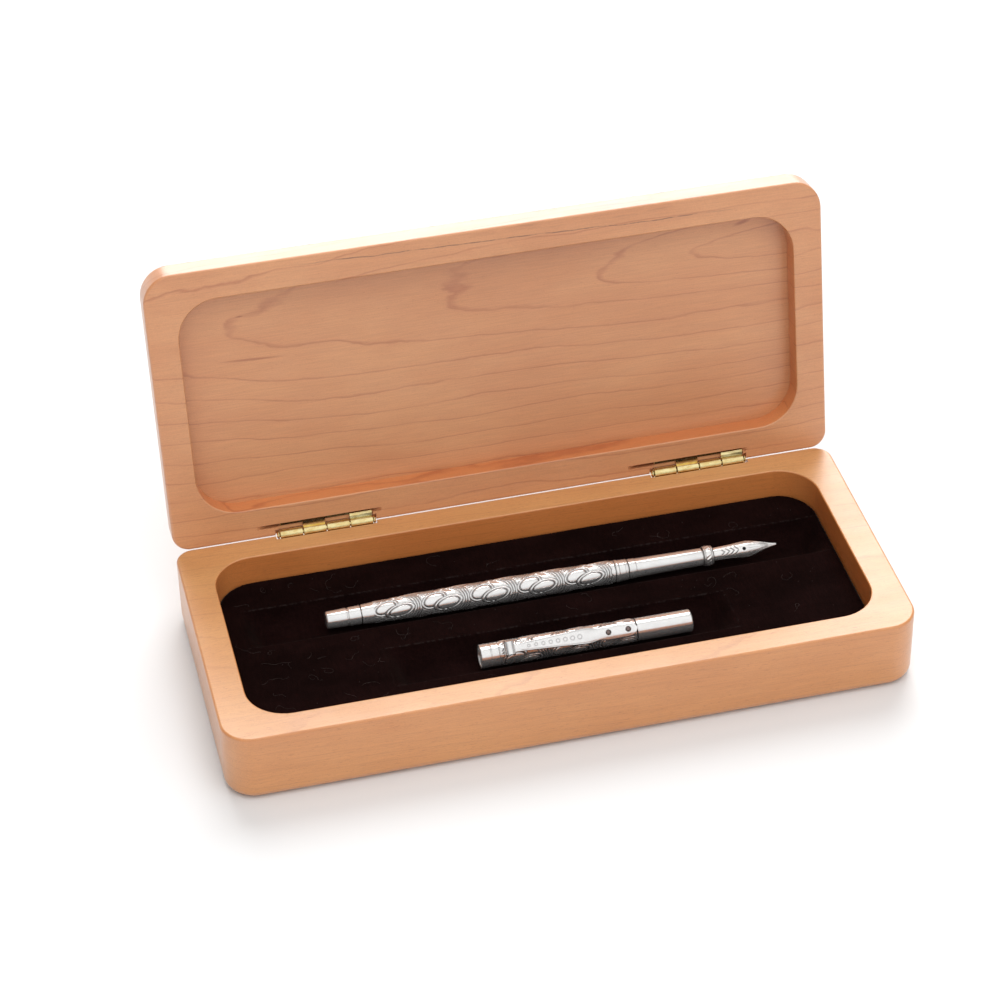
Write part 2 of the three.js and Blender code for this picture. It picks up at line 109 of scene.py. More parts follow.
LENS, SENSOR_WIDTH = 112.64, 36.0
CAMERA_PLACE = (-0.17177, -0.68902, 0.61033)  # metres
CAMERA_TURN = (51.997, 0.962, -13.790)  # degrees about X, Y and Z


def box_mm(node):
    low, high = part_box(node)
    return np.array(low) / MM, np.array(high) / MM


# ---------------------------------------------------------------- local frames, taken from the CAD model

def joint(name):
    return next(j for j in frame["joints"] if j["name"] == name)


LID_HINGE = joint("lid_hinge")
CLIP_FLEX = joint("clip_flex")


def lid_frame():
    """Places the lid, drawn closed with the hinge axis as its origin, at its open rest position."""
    opened = math.radians(LID_HINGE["range_deg"][1])
    return Matrix.Translation(LID_HINGE["pos_m"]) @ Matrix.Rotation(-opened, 4, "X")


def pen_frame():
    low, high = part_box("pen_barrel")
    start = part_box("barrel_end_plug")[0].x
    turn = Matrix.Rotation(math.radians(PEN_TURN), 4, "X")
    return Matrix.Translation((start, (low.y + high.y) / 2, (low.z + high.z) / 2)) @ turn


def cap_frame():
    low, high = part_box("cap_crown")
    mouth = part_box("cap_tube")[0].x
    axis = CLIP_FLEX["axis"]
    turn = Matrix.Rotation(math.atan2(axis[2], axis[1]), 4, "X")
    return Matrix.Translation((mouth, (low.y + high.y) / 2, (low.z + high.z) / 2)) @ turn


AXIS_FRAME = Matrix.Translation(LID_HINGE["pos_m"])
LID_FRAME = lid_frame()
PEN_FRAME = pen_frame()
CAP_FRAME = cap_frame()
WORLD_FRAME = Matrix.Identity(4)


# ---------------------------------------------------------------- meshes

def mesh_object(name, verts, faces, place=WORLD_FRAME, smooth_angle=40):
    """A mesh object from vertices in millimetres in the frame place; edges above smooth_angle stay sharp."""
    mesh = bpy.data.meshes.new(name)
    mesh.from_pydata((np.asarray(verts, float) * MM).tolist(), [], [list(map(int, f)) for f in faces])
    mesh.transform(place)
    obj = bpy.data.objects.new(name, mesh)
    bpy.context.scene.collection.objects.link(obj)
    bm = bmesh.new()
    bm.from_mesh(mesh)
    bmesh.ops.remove_doubles(bm, verts=bm.verts, dist=1e-7)
    bmesh.ops.recalc_face_normals(bm, faces=bm.faces)
    bm.to_mesh(mesh)
    bm.free()
    shade(obj, smooth_angle)
    return obj


def shade(obj, smooth_angle=40):
    obj.data.shade_smooth()
    obj.data.set_sharp_from_angle(angle=math.radians(smooth_angle))


def bake(obj):
    """Applies the object's modifiers to its mesh."""
    graph = bpy.context.evaluated_depsgraph_get()
    graph.update()
    made = bpy.data.meshes.new_from_object(obj.evaluated_get(graph), depsgraph=graph)
    obj.modifiers.clear()
    obj.data = made


def combine(obj, others, operation):
    """Joins the other solids to obj, or cuts them away, and removes them."""
    for other in others:
        modifier = obj.modifiers.new(operation.lower(), "BOOLEAN")
        modifier.object = other
        modifier.operation = operation
        modifier.solver = "EXACT"
    bake(obj)
    for other in others:
        bpy.data.objects.remove(other)


def flat_faces(obj):
    """Shades the small rounded edges smoothly and keeps the large faces flat."""
    shade(obj)
    modifier = obj.modifiers.new("weighted_normals", "WEIGHTED_NORMAL")
    modifier.keep_sharp = True
    modifier.weight = 90
    bake(obj)


def grid_faces(rows, columns, wrap_rows=False, wrap_columns=True):
    """Quads between the points of a grid stored row by row."""
    faces = []
    for i in range(rows if wrap_rows else rows - 1):
        for j in range(columns if wrap_columns else columns - 1):
            a, b = i * columns, ((i + 1) % rows) * columns
            k = (j + 1) % columns
            faces.append((a + j, a + k, b + k, b + j))
    return faces


def loft(loops):
    """Vertices and faces of a closed solid through loops of equal length, capped at both ends."""
    count = len(loops[0])
    verts = [p for loop in loops for p in loop]
    faces = grid_faces(len(loops), count)
    faces.append(tuple(range(count)))
    faces.append(tuple(range(len(verts) - count, len(verts))))
    return verts, faces


def rounded(points, radius, closed=False, steps=3):
    """The polyline with every corner turned into a small arc."""
    points = [np.asarray(p, float) for p in points]
    count = len(points)
    out = []
    for i, corner in enumerate(points):
        if not closed and i in (0, count - 1):
            out.append(corner)
            continue
        to_last, to_next = points[i - 1] - corner, points[(i + 1) % count] - corner
        last_length, next_length = np.linalg.norm(to_last), np.linalg.norm(to_next)
        cut = min(radius, 0.45 * last_length, 0.45 * next_length)
        start, end = corner + to_last / last_length * cut, corner + to_next / next_length * cut
        for t in np.linspace(0, 1, steps + 1):
            out.append((1 - t) ** 2 * start + 2 * t * (1 - t) * corner + t * t * end)
    return out


def turned(profile, segments=48, closed=False, relief=None):
    """Vertices and faces of (x, radius) points turned about X; relief(x, arc) adds height to the outside."""
    profile = np.asarray(profile, float)
    angles = np.arange(segments) * 2 * math.pi / segments
    length, around = np.meshgrid(profile[:, 0], angles, indexing="ij")
    radius = np.repeat(profile[:, 1:2], segments, axis=1)
    if relief is not None:
        radius = radius + relief(length, around, radius)
    verts = np.stack([length, -radius * np.sin(around), radius * np.cos(around)], axis=-1).reshape(-1, 3)
    return verts, grid_faces(len(profile), segments, wrap_rows=closed)


def turned_object(name, profile, place, segments=48, closed=False, relief=None, smooth_angle=40):
    verts, faces = turned(profile, segments, closed, relief)
    return mesh_object(name, verts, faces, place, smooth_angle)


def rod(name, x0, x1, radius, place, segments=48):
    return turned_object(name, [(x0, 0), (x0, radius), (x1, radius), (x1, 0)], place, segments)


def block(name, low, high, place):
    corners = ((low[0], low[1]), (high[0], low[1]), (high[0], high[1]), (low[0], high[1]))
    loops = [[(x, y, z) for x, y in corners] for z in (low[2], high[2])]
    return mesh_object(name, *loft(loops), place)


def local_points(obj, place=WORLD_FRAME):
    """The mesh's points as an array, in millimetres in the frame place."""
    points = np.zeros(len(obj.data.vertices) * 3)
    obj.data.vertices.foreach_get("co", points)
    back = np.array(place.inverted())
    return (points.reshape(-1, 3) @ back[:3, :3].T + back[:3, 3]) / MM


def add_values(obj, name, values, domain="POINT"):
    """Stores one number per vertex, or per face, for the material to read."""
    attribute = obj.data.attributes.new(name, "FLOAT", domain)
    attribute.data.foreach_set("value", np.asarray(values, np.float32))


def carried_values(obj, place, points, values):
    """The values given at points, in millimetres in the frame place, taken over by the nearest vertices."""
    tree = kdtree.KDTree(len(points))
    for index, point in enumerate(points):
        tree.insert(point, index)
    tree.balance()
    return [values[tree.find(point)[1]] for point in local_points(obj, place)]


def put(obj, body, slot, look, *nodes):
    """Gives a finished piece its material and its body and hides the CAD nodes it stands for; the slot is not
    used.
    """
    obj.data.materials.clear()
    obj.data.materials.append(look)
    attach(obj, body)
    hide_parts(*nodes)
    return obj


# ---------------------------------------------------------------- curves

def smooth(value):
    """From 0 to 1 with an even start and end."""
    value = np.clip(value, 0, 1)
    return value * value * (3 - 2 * value)


def hump(value, middle, width):
    """1 at the middle, falling away on both sides over the width."""
    return np.exp(-((value - middle) / width) ** 2)


def read_curve(x, points):
    """The height at x of the polyline through (x, height) points."""
    points = np.asarray(points, float)
    return np.interp(x, points[:, 0], points[:, 1])


# ---------------------------------------------------------------- shader graphs

class Graph:
    """Short names for the nodes of one node tree."""

    def __init__(self, tree):
        self.tree = tree
        tree.nodes.clear()

    def node(self, kind, inputs=(), **settings):
        made = self.tree.nodes.new(kind)
        for key, value in settings.items():
            setattr(made, key, value)
        for key, value in dict(inputs).items():
            if isinstance(value, bpy.types.NodeSocket):
                self.tree.links.new(value, made.inputs[key])
            else:
                made.inputs[key].default_value = value
        return made

    def math(self, operation, a, b=0.0, c=0.0, clamp=False):
        inputs = {0: a, 1: b, 2: c}
        return self.node("ShaderNodeMath", inputs, operation=operation, use_clamp=clamp).outputs[0]

    def plus(self, a, b):
        return self.math("ADD", a, b)

    def minus(self, a, b):
        return self.math("SUBTRACT", a, b)

    def times(self, a, b):
        return self.math("MULTIPLY", a, b)

    def scaled(self, vector, factors):
        return self.node("ShaderNodeVectorMath", {0: vector, 1: factors}, operation="MULTIPLY").outputs[0]

    def shifted(self, vector, offset):
        return self.node("ShaderNodeVectorMath", {0: vector, 1: offset}, operation="ADD").outputs[0]

    def millimetres(self):
        """The point on the piece in its own frame, in millimetres."""
        point = self.node("ShaderNodeTexCoord").outputs["Object"]
        return self.scaled(point, (1000, 1000, 1000))

    def split(self, vector):
        return self.node("ShaderNodeSeparateXYZ", {0: vector}).outputs

    def join(self, x, y, z):
        return self.node("ShaderNodeCombineXYZ", {0: x, 1: y, 2: z}).outputs[0]

    def noise(self, vector, scale=1.0, detail=3.0, rough=0.5):
        inputs = {"Vector": vector, "Scale": scale, "Detail": detail, "Roughness": rough}
        return self.node("ShaderNodeTexNoise", inputs).outputs[0]

    def cells(self, vector):
        return self.node("ShaderNodeTexVoronoi", {"Vector": vector, "Scale": 1.0}).outputs["Distance"]

    def band(self, value, low, high, out_low=0.0, out_high=1.0):
        """value from low..high to out_low..out_high, smooth and clamped."""
        inputs = {0: value, 1: low, 2: high, 3: out_low, 4: out_high}
        return self.node("ShaderNodeMapRange", inputs, interpolation_type="SMOOTHSTEP").outputs[0]

    def mix(self, factor, a, b, blend="MIX"):
        inputs = {0: factor, 6: a, 7: b}
        return self.node("ShaderNodeMix", inputs, data_type="RGBA", blend_type=blend).outputs[2]

    def shaded(self, colour, tone):
        """The colour multiplied by one number."""
        return self.mix(1.0, colour, self.join(tone, tone, tone), "MULTIPLY")

    def attribute(self, name):
        return self.node("ShaderNodeAttribute", attribute_name=name).outputs["Fac"]

    def bump(self, height, depth):
        """A normal bent by a height of 0 to 1 that stands for 0 to depth millimetres."""
        inputs = {"Height": height, "Strength": 1.0, "Distance": depth * MM}
        return self.node("ShaderNodeBump", inputs).outputs[0]

    def surface(self, **values):
        """The Principled surface, with inputs named as in Blender with underscores for spaces."""
        inputs = {key.replace("_", " "): value for key, value in values.items()}
        shader = self.node("ShaderNodeBsdfPrincipled", inputs)
        output = self.node("ShaderNodeOutputMaterial")
        self.tree.links.new(shader.outputs[0], output.inputs["Surface"])
        return shader


def new_material(name):
    made = bpy.data.materials.new(name)
    made.use_nodes = True
    return made, Graph(made.node_tree)


def rgb(red, green, blue):
    """Linear colour from 0-255 sRGB numbers."""
    def linear(value):
        value = value / 255
        return value / 12.92 if value <= 0.04045 else ((value + 0.055) / 1.055) ** 2.4
    return (linear(red), linear(green), linear(blue), 1.0)


# ---------------------------------------------------------------- wood

def lid_point(g):
    """The point in the closed lid's frame, in millimetres."""
    axis = tuple(value / MM for value in LID_HINGE["pos_m"])
    inputs = {"Vector": g.millimetres(), "Center": axis, "Angle": math.radians(LID_HINGE["range_deg"][1])}
    closed = g.node("ShaderNodeVectorRotate", inputs, rotation_type="X_AXIS").outputs[0]
    return g.shifted(closed, tuple(-value for value in axis))


def ring_lines(g, point, pith, slope, spacing, waviness):
    """Growth rings round a tilted pith: 1 in the thin dark line, and the place between two lines."""
    x, y, z = g.split(point)[:3]
    drift = g.noise(g.scaled(point, (0.012, 0.05, 0.05)), 1.0, 2.0, 0.45)
    ripple = g.noise(g.shifted(g.scaled(point, (0.045, 0.12, 0.12)), (7.0, 3.0, 1.0)), 1.0, 3.0, 0.55)
    tremor = g.noise(g.scaled(point, (0.16, 0.3, 0.3)), 1.0, 2.0, 0.5)
    wander = g.times(g.minus(drift, 0.5), waviness)
    wander = g.math("MULTIPLY_ADD", g.minus(ripple, 0.5), 0.26 * waviness, wander)
    wander = g.math("MULTIPLY_ADD", g.minus(tremor, 0.5), 0.6, wander)
    across = g.minus(y, pith[0])
    depth = g.plus(g.minus(z, pith[1]), g.times(x, slope))
    radius = g.math("SQRT", g.plus(g.times(across, across), g.times(depth, depth)))
    phase = g.math("FRACT", g.math("DIVIDE", g.plus(radius, wander), spacing))
    rise = g.band(phase, 0.875, 0.955)
    fall = g.band(phase, 0.955, 0.99, 1.0, 0.0)
    return g.times(rise, fall), phase


def wood_figure(g, point, pale, deep, ring, fleck, ring_strength, rings):
    """Colour and fine relief of pale hardwood: rings, fibre streaks, short dark flecks, grit and pores."""
    cloud = g.noise(g.scaled(point, (0.02, 0.05, 0.05)), 1.0, 3.0, 0.55)
    colour = g.mix(g.band(cloud, 0.32, 0.68), pale, deep)

    fibre = g.noise(g.scaled(point, (0.10, 3.2, 3.2)), 1.0, 4.0, 0.6)
    colour = g.shaded(colour, g.band(fibre, 0.3, 0.7, 0.94, 1.05))

    line, phase = ring_lines(g, point, **rings)
    broken = g.noise(g.scaled(point, (0.05, 0.15, 0.15)), 1.0, 2.0, 0.5)
    line = g.times(line, g.band(broken, 0.3, 0.62, 0.4, 1.0))
    colour = g.mix(g.times(g.band(phase, 0.2, 0.95), 0.07 * ring_strength), colour, ring)
    colour = g.mix(g.times(line, ring_strength), colour, ring)

    dash = g.noise(g.scaled(point, (0.55, 4.2, 4.2)), 1.0, 2.0, 0.55)
    dash = g.band(dash, 0.60, 0.72)
    colour = g.mix(g.times(dash, fleck), colour, ring)

    grit = g.noise(point, 2.4, 3.0, 0.7)
    colour = g.shaded(colour, g.band(grit, 0.25, 0.75, 0.945, 1.045))

    pore = g.cells(g.scaled(point, (0.22, 1.3, 1.3)))
    pore = g.band(pore, 0.05, 0.12, 1.0, 0.0)
    colour = g.mix(g.times(pore, 0.28), colour, ring)

    raised = g.plus(g.times(fibre, 0.6), g.times(grit, 0.5))
    sunk = g.plus(g.times(dash, 0.35), g.times(pore, 0.8))
    return colour, g.minus(raised, sunk)


def wood_material(name, pale, deep, ring, fleck, ring_strength, in_lid=False, **rings):
    """Pale hardwood under a satin finish, with a painted warm shade on routed walls, a painted paler sheen on
    the rim faces and a darker orange tint along the outer edges at the rim.
    """
    made, g = new_material(name)
    point = lid_point(g) if in_lid else g.millimetres()
    colour, relief = wood_figure(g, point, pale, deep, ring, fleck, ring_strength, rings)
    if in_lid:
        colour = g.mix(short_streaks(g, point), colour, rgb(140, 66, 36))
        colour = g.mix(mineral_marks(g, point), colour, rgb(84, 58, 44))
    # Painted light: the "wall" tint paints a warm, darker shade on the upright faces inside a hollow; the
    # "rim" tint paints a paler sheen on the rim face.
    for attribute, tint in (("wall", (1.08, 0.86, 0.66, 1.0)), ("rim", (1.0, 1.13, 1.2, 1.0))):
        colour = g.mix(g.attribute(attribute), colour, g.mix(1.0, colour, tint, "MULTIPLY"))
    # Darker orange along the outer rounded edges at the rim.
    colour = g.mix(g.times(g.attribute("edge"), 0.30), colour, rgb(190, 112, 62))
    finish = g.noise(g.scaled(point, (0.06, 0.25, 0.25)), 1.0, 3.0, 0.6)
    g.surface(Base_Color=colour, Roughness=g.band(finish, 0.3, 0.7, 0.34, 0.42), Normal=g.bump(relief, 0.03),
              Specular_IOR_Level=0.7, Coat_Weight=0.5, Coat_Roughness=0.28)
    return made


def short_streaks(g, point):
    """Reddish streaks in the lid's face: a long faint one and a speck at the left, one at the right."""
    x, y, _ = g.split(point)[:3]
    streaks = ((-72.0, -55.4, 13.0, 0.6, 0.05, 0.55),
               (79.5, -75.4, 3.6, 0.9, -0.22, 0.6),
               (-74.5, -69.5, 1.6, 0.35, 0.0, 0.6))
    total = 0.0
    for centre_x, centre_y, long, wide, lean, strength in streaks:
        ds = g.minus(x, centre_x)
        dt = g.minus(y, g.math("MULTIPLY_ADD", ds, lean, centre_y))
        away = g.math("SQRT", g.plus(g.math("POWER", g.math("DIVIDE", ds, long), 2.0),
                                     g.math("POWER", g.math("DIVIDE", dt, wide), 2.0)))
        mark = g.times(g.band(away, 0.2, 1.0, 1.0, 0.0), strength)
        total = g.math("MAXIMUM", total, mark)
    return total


def mineral_marks(g, point):
    """A hairline mineral line and a grey-brown patch near the lid's front edge."""
    x, y, _ = g.split(point)[:3]
    sway = g.noise(g.join(g.times(x, 0.035), 0.0, 0.0), 1.0, 3.0, 0.6)
    middle = g.math("MULTIPLY_ADD", g.minus(sway, 0.5), 2.6, -84.2)
    middle = g.plus(middle, g.times(x, 0.022))
    away = g.math("ABSOLUTE", g.minus(y, middle))
    hair = g.band(away, 0.05, 0.26, 1.0, 0.0)
    extent = g.times(g.band(x, -62.0, -40.0), g.band(x, 52.0, 86.0, 1.0, 0.0))
    broken = g.noise(g.join(g.times(x, 0.16), 4.0, 0.0), 1.0, 3.0, 0.7)
    hair = g.times(g.times(hair, extent), g.band(broken, 0.34, 0.60, 0.15, 1.0))
    patch = g.noise(g.scaled(point, (0.045, 0.5, 0.22)), 1.0, 4.0, 0.62)
    where = g.times(g.band(x, -8.0, 16.0), g.band(x, 46.0, 66.0, 1.0, 0.0))
    where = g.times(where, g.band(y, -84.5, -87.0))
    patch = g.times(g.band(patch, 0.50, 0.70), where)
    return g.math("MULTIPLY", g.math("MAXIMUM", hair, g.times(patch, 0.65)), 0.75, clamp=True)


# ---------------------------------------------------------------- other materials

def brass_material():
    made, g = new_material("brass_polished")
    point = g.millimetres()
    tarnish = g.band(g.noise(g.scaled(point, (0.4, 0.8, 0.8)), 1.0, 4.0, 0.6), 0.35, 0.7)
    colour = g.mix(tarnish, rgb(246, 230, 172), rgb(228, 198, 130))
    lines = g.noise(g.scaled(point, (0.8, 9.0, 9.0)), 1.0, 3.0, 0.6)
    roughness = g.math("MULTIPLY_ADD", tarnish, 0.05, 0.10)
    g.surface(Base_Color=colour, Metallic=1.0, Roughness=roughness, Normal=g.bump(lines, 0.001))
    return made


def silver_material(name, tint, dark, roughness_low=0.17, roughness_high=0.25, brushed=0.003):
    """Polished silver, darker where the attribute "hollow" says that a line is cut in."""
    made, g = new_material(name)
    point = g.millimetres()
    hollow = g.attribute("hollow")
    cloud = g.band(g.noise(g.scaled(point, (0.25, 0.6, 0.6)), 1.0, 4.0, 0.6), 0.3, 0.7)
    colour = g.mix(cloud, tint, tuple(c * 0.95 for c in tint[:3]) + (1.0,))
    stain = g.times(hollow, g.band(g.noise(point, 0.8, 3.0, 0.6), 0.3, 0.65, 0.75, 1.0))
    colour = g.mix(stain, colour, dark)
    scratch = g.noise(g.scaled(point, (0.5, 14.0, 14.0)), 1.0, 3.0, 0.65)
    roughness = g.math("MULTIPLY_ADD", cloud, roughness_high - roughness_low, roughness_low)
    roughness = g.math("MULTIPLY_ADD", stain, 0.25, roughness)
    g.surface(Base_Color=colour, Metallic=0.84, Roughness=roughness, Normal=g.bump(scratch, brushed))
    return made


def velvet_material():
    """Near-black cotton velvet: short pile with a faint warm bloom, paler along the troughs' edges, where
    worn pile and a painted sheen are shown.
    """
    made, g = new_material("black_velvet")
    point = g.millimetres()
    pile = g.noise(point, 3.4, 4.0, 0.75)
    brushed = g.noise(g.scaled(point, (0.05, 0.09, 0.09)), 1.0, 4.0, 0.6)
    weave = g.noise(g.scaled(point, (1.2, 0.25, 1.2)), 1.0, 2.0, 0.5)
    tone = g.times(g.band(pile, 0.25, 0.8, 0.55, 1.5), g.band(brushed, 0.3, 0.7, 0.7, 1.35))
    tone = g.times(tone, g.band(weave, 0.3, 0.7, 0.85, 1.15))
    colour = g.shaded((0.0068, 0.0023, 0.0021, 1.0), tone)
    # Pale broken line along the troughs' edges: partly worn pile, partly a painted sheen of the pile's crest.
    wear_and_sheen = g.times(g.attribute("wear_and_sheen"), g.band(g.noise(point, 1.1, 3.0, 0.7), 0.46, 0.60))
    colour = g.mix(g.times(wear_and_sheen, 0.45), colour, (0.040, 0.032, 0.030, 1.0))
    g.surface(Base_Color=colour, Roughness=0.95, Specular_IOR_Level=0.03, Sheen_Weight=0.012,
              Sheen_Roughness=0.45, Sheen_Tint=(1.0, 0.72, 0.62, 1.0), Normal=g.bump(pile, 0.12))
    return made


def lint_material():
    made, g = new_material("pale_lint")
    tone = g.band(g.noise(g.millimetres(), 0.3, 2.0, 0.5), 0.35, 0.65)
    colour = g.mix(tone, (0.028, 0.022, 0.020, 1.0), (0.09, 0.072, 0.066, 1.0))
    g.surface(Base_Color=colour, Roughness=0.8)
    return made


def moulded_material(name, colour, roughness, grain):
    """Moulded plastic or pressed fibre: a fine even texture and a slight mottle."""
    made, g = new_material(name)
    point = g.millimetres()
    mottle = g.band(g.noise(point, 0.5, 3.0, 0.6), 0.3, 0.7, 0.85, 1.15)
    g.surface(Base_Color=g.shaded(colour, mottle), Roughness=roughness,
              Normal=g.bump(g.noise(point, 4.0, 3.0, 0.6), grain))
    return made


def clear_material():
    made, g = new_material("clear_plastic")
    haze = g.band(g.noise(g.millimetres(), 0.4, 3.0, 0.6), 0.3, 0.7, 0.06, 0.16)
    g.surface(Base_Color=(0.86, 0.92, 0.95, 1.0), Roughness=haze, Transmission_Weight=0.85, IOR=1.49)
    return made


def floor_material():
    made, g = new_material("pale_floor")
    tone = g.band(g.noise(g.millimetres(), 0.004, 2.0, 0.5), 0.3, 0.7, 0.735, 0.75)
    g.surface(Base_Color=g.join(tone, tone, tone), Roughness=0.9, Specular_IOR_Level=0.1)
    return made


LOOKS = {
    "base": wood_material("beech_base", rgb(206, 142, 87), rgb(199, 133, 79), rgb(140, 74, 40),
                          fleck=0.38, ring_strength=0.2,
                          pith=(-30.0, -95.0), slope=0.05, spacing=3.1, waviness=3.0),
    "lid": wood_material("maple_lid", rgb(206, 145, 99), rgb(199, 135, 90), rgb(146, 66, 38),
                         fleck=0.16, ring_strength=0.42, in_lid=True,
                         pith=(-68.0, -6.5), slope=-0.115, spacing=5.5, waviness=9.0),
    "brass": brass_material(),
    "silver": silver_material("silver_polished", (0.87, 0.86, 0.85, 1.0), (0.13, 0.115, 0.11, 1.0)),
    "nib": silver_material("silver_nib", (0.92, 0.90, 0.88, 1.0), (0.20, 0.18, 0.17, 1.0), 0.18, 0.28, 0.006),
    "rivet": silver_material("silver_blackened", (0.20, 0.15, 0.14, 1.0), (0.05, 0.04, 0.04, 1.0), 0.22,
                             0.34),
    "velvet": velvet_material(),
    "lint": lint_material(),
    "black_plastic": moulded_material("moulded_black", (0.012, 0.012, 0.013, 1.0), 0.35, 0.01),
    "core": moulded_material("pressed_fibre", (0.035, 0.03, 0.028, 1.0), 0.9, 0.05),
    "clear": clear_material(),
}


# ---------------------------------------------------------------- wooden box

def plan_loop(x0, x1, y0, y1, front, back, z):
    """Points at height z round a rectangle with round corners, of one radius in front and one behind."""
    steps = 10
    corners = ((x0 + front, y0 + front, front, 180), (x1 - front, y0 + front, front, 270),
               (x1 - back, y1 - back, back, 0), (x0 + back, y1 - back, back, 90))
    points = []
    for cx, cy, radius, start in corners:
        for i in range(steps + 1):
            angle = math.radians(start + 90 * i / steps)
            points.append((cx + radius * math.cos(angle), cy + radius * math.sin(angle), z))
    return points


def inset_loop(plan, inset, z):
    x0, x1, y0, y1, front, back = plan
    return plan_loop(x0 + inset, x1 - inset, y0 + inset, y1 - inset, front - inset, back - inset, z)


def quarter(steps):
    """Sine and cosine of 0 to 90 degrees in equal steps."""
    for i in range(steps + 1):
        yield math.sin(math.pi / 2 * i / steps), math.cos(math.pi / 2 * i / steps)


def box_half(name, plan, hollow_plan, flat_z, rim_z, floor_z, place):
    """A shallow box open at rim_z: a rounded face at flat_z, rounded rims and a hollow to floor_z."""
    up = 1.0 if rim_z > flat_z else -1.0
    loops = []
    for s, c in quarter(8):
        loops.append(inset_loop(plan, EDGE_ROUND * (1 - s), flat_z + up * EDGE_ROUND * (1 - c)))
    for s, c in quarter(5):
        loops.append(inset_loop(plan, RIM_ROUND * (1 - c), rim_z - up * RIM_ROUND * (1 - s)))
    for s, c in quarter(3):
        loops.append(inset_loop(hollow_plan, -INNER_ROUND * (1 - s), rim_z - up * INNER_ROUND * (1 - c)))
    loops.append(inset_loop(hollow_plan, 0, floor_z))
    return mesh_object(name, *loft(loops), place)


def base_plan():
    low, high = box_mm("base")
    return low[0], high[0], low[1], high[1], FRONT_CORNER, BACK_CORNER


def tray_plan():
    low, high = box_mm("insert_core")
    return low[0] - GAP, high[0] + GAP, low[1] - GAP, high[1] + GAP, TRAY_CORNER, TRAY_CORNER


def hinge_middle(name):
    low, high = box_mm(name + "_pin")
    return (low[0] + high[0]) / 2


def barrel_groove(middle, place):
    reach = hinge_length() / 2 + PIN_HEAD_LENGTH + 2 * GAP
    return rod("groove", middle - reach, middle + reach, KNUCKLE_OUTER + GAP, place)


def kerf_y():
    """The middle of the lid's saw kerf, from the hinge axis."""
    return box_mm("base")[1][1] - KERF_FROM_BACK - LID_HINGE["pos_m"][1] / MM


def lid_cutters(name):
    """Round-bottomed saw kerf, tab mortise and barrel groove of one hinge, in the lid."""
    middle = hinge_middle(name)
    rise = math.sqrt(KERF_RADIUS ** 2 - (KERF_CHORD / 2) ** 2)
    centre = Vector((middle + KERF_SHIFT[name], kerf_y(), GAP / 2 - rise)) * MM
    across = LID_FRAME @ Matrix.Translation(centre) @ Matrix.Rotation(math.pi / 2, 4, "Z")
    disc = rod("kerf", -KERF_WIDTH / 2, KERF_WIDTH / 2, KERF_RADIUS, across, segments=160)
    half = hinge_length() / 2 + GAP
    low, high = (middle - half, kerf_y(), 0.0), (middle + half, 2.0, GAP / 2 + LEAF + GAP)
    return [disc, block("mortise", low, high, LID_FRAME), barrel_groove(middle, LID_FRAME)]


def base_cutters(name):
    """Barrel groove of one hinge in the base, and the slot under it for the foot of the leaf."""
    middle = hinge_middle(name)
    half, thick = FOOT_HALF + GAP, LEAF / 2 + GAP
    low, high = (middle - half, FOOT_Y - thick, -FOOT_END - GAP), (middle + half, FOOT_Y + thick, -0.9)
    return [block("slot", low, high, AXIS_FRAME), barrel_groove(middle, AXIS_FRAME)]


def mark_edges(obj, place, plan, rim_z):
    """Attribute "edge": 1 on the outer rounded edge at the rim, which the material tints darker orange."""
    x0, x1, y0, y1 = plan[:4]
    x, y, z = local_points(obj, place).T
    outside = np.minimum(np.minimum(x - x0, x1 - x), np.minimum(y - y0, y1 - y)) < 2.2
    close = np.maximum(0, 1 - np.abs(np.abs(z - rim_z) - 0.45) / 0.6)
    add_values(obj, "edge", close * outside)


def mark_painted_wall_shade(obj, place, plan):
    """Attribute "wall" on each face: 1 on the upright faces inside the hollow, where the material paints a
    warmer, darker shade.
    """
    x0, x1, y0, y1 = plan[:4]
    back = place.inverted()
    values = []
    for face in obj.data.polygons:
        x, y, _ = (back @ face.center) / MM
        upright = abs((back.to_3x3() @ face.normal).z) < 0.5
        values.append(upright and min(x - x0, x1 - x, y - y0, y1 - y) > 5)
    add_values(obj, "wall", values, "FACE")


def mark_painted_rim_sheen(obj, rim_z):
    """Attribute "rim" on each face: 1 on the flat face the lid closes on, where the material paints a paler
    sheen.
    """
    add_values(obj, "rim", [abs(face.center.z / MM - rim_z) < 0.05 for face in obj.data.polygons], "FACE")


def make_base():
    low, high = box_mm("base")
    base = box_half("wooden_base", base_plan(), tray_plan(), low[2], high[2], TRAY_FLOOR, WORLD_FRAME)
    combine(base, [cutter for name in KERF_SHIFT for cutter in base_cutters(name)], "DIFFERENCE")
    flat_faces(base)
    mark_edges(base, WORLD_FRAME, base_plan(), high[2])
    mark_painted_wall_shade(base, WORLD_FRAME, base_plan())
    mark_painted_rim_sheen(base, high[2])
    put(base, "base", "wood", LOOKS["base"], "base")


def make_lid():
    x0, x1, y0, y1, front, back = base_plan()
    axis_y = LID_HINGE["pos_m"][1] / MM
    plan = (x0, x1, y0 - axis_y, y1 - axis_y, front, back)
    hollow = (x0 + RECESS_SIDE, x1 - RECESS_SIDE, plan[2] + RECESS_FRONT, plan[3] - RECESS_BACK,
              RECESS_CORNER, RECESS_CORNER)
    under = GAP / 2
    lid = box_half("wooden_lid", plan, hollow, under + LID_HEIGHT, under, under + RECESS_DEPTH, LID_FRAME)
    combine(lid, [cutter for name in KERF_SHIFT for cutter in lid_cutters(name)], "DIFFERENCE")
    flat_faces(lid)
    mark_edges(lid, LID_FRAME, plan, under)
    mark_painted_wall_shade(lid, LID_FRAME, plan)
    put(lid, "lid", "lid_wood", LOOKS["lid"], "lid")


# ---------------------------------------------------------------- hinges

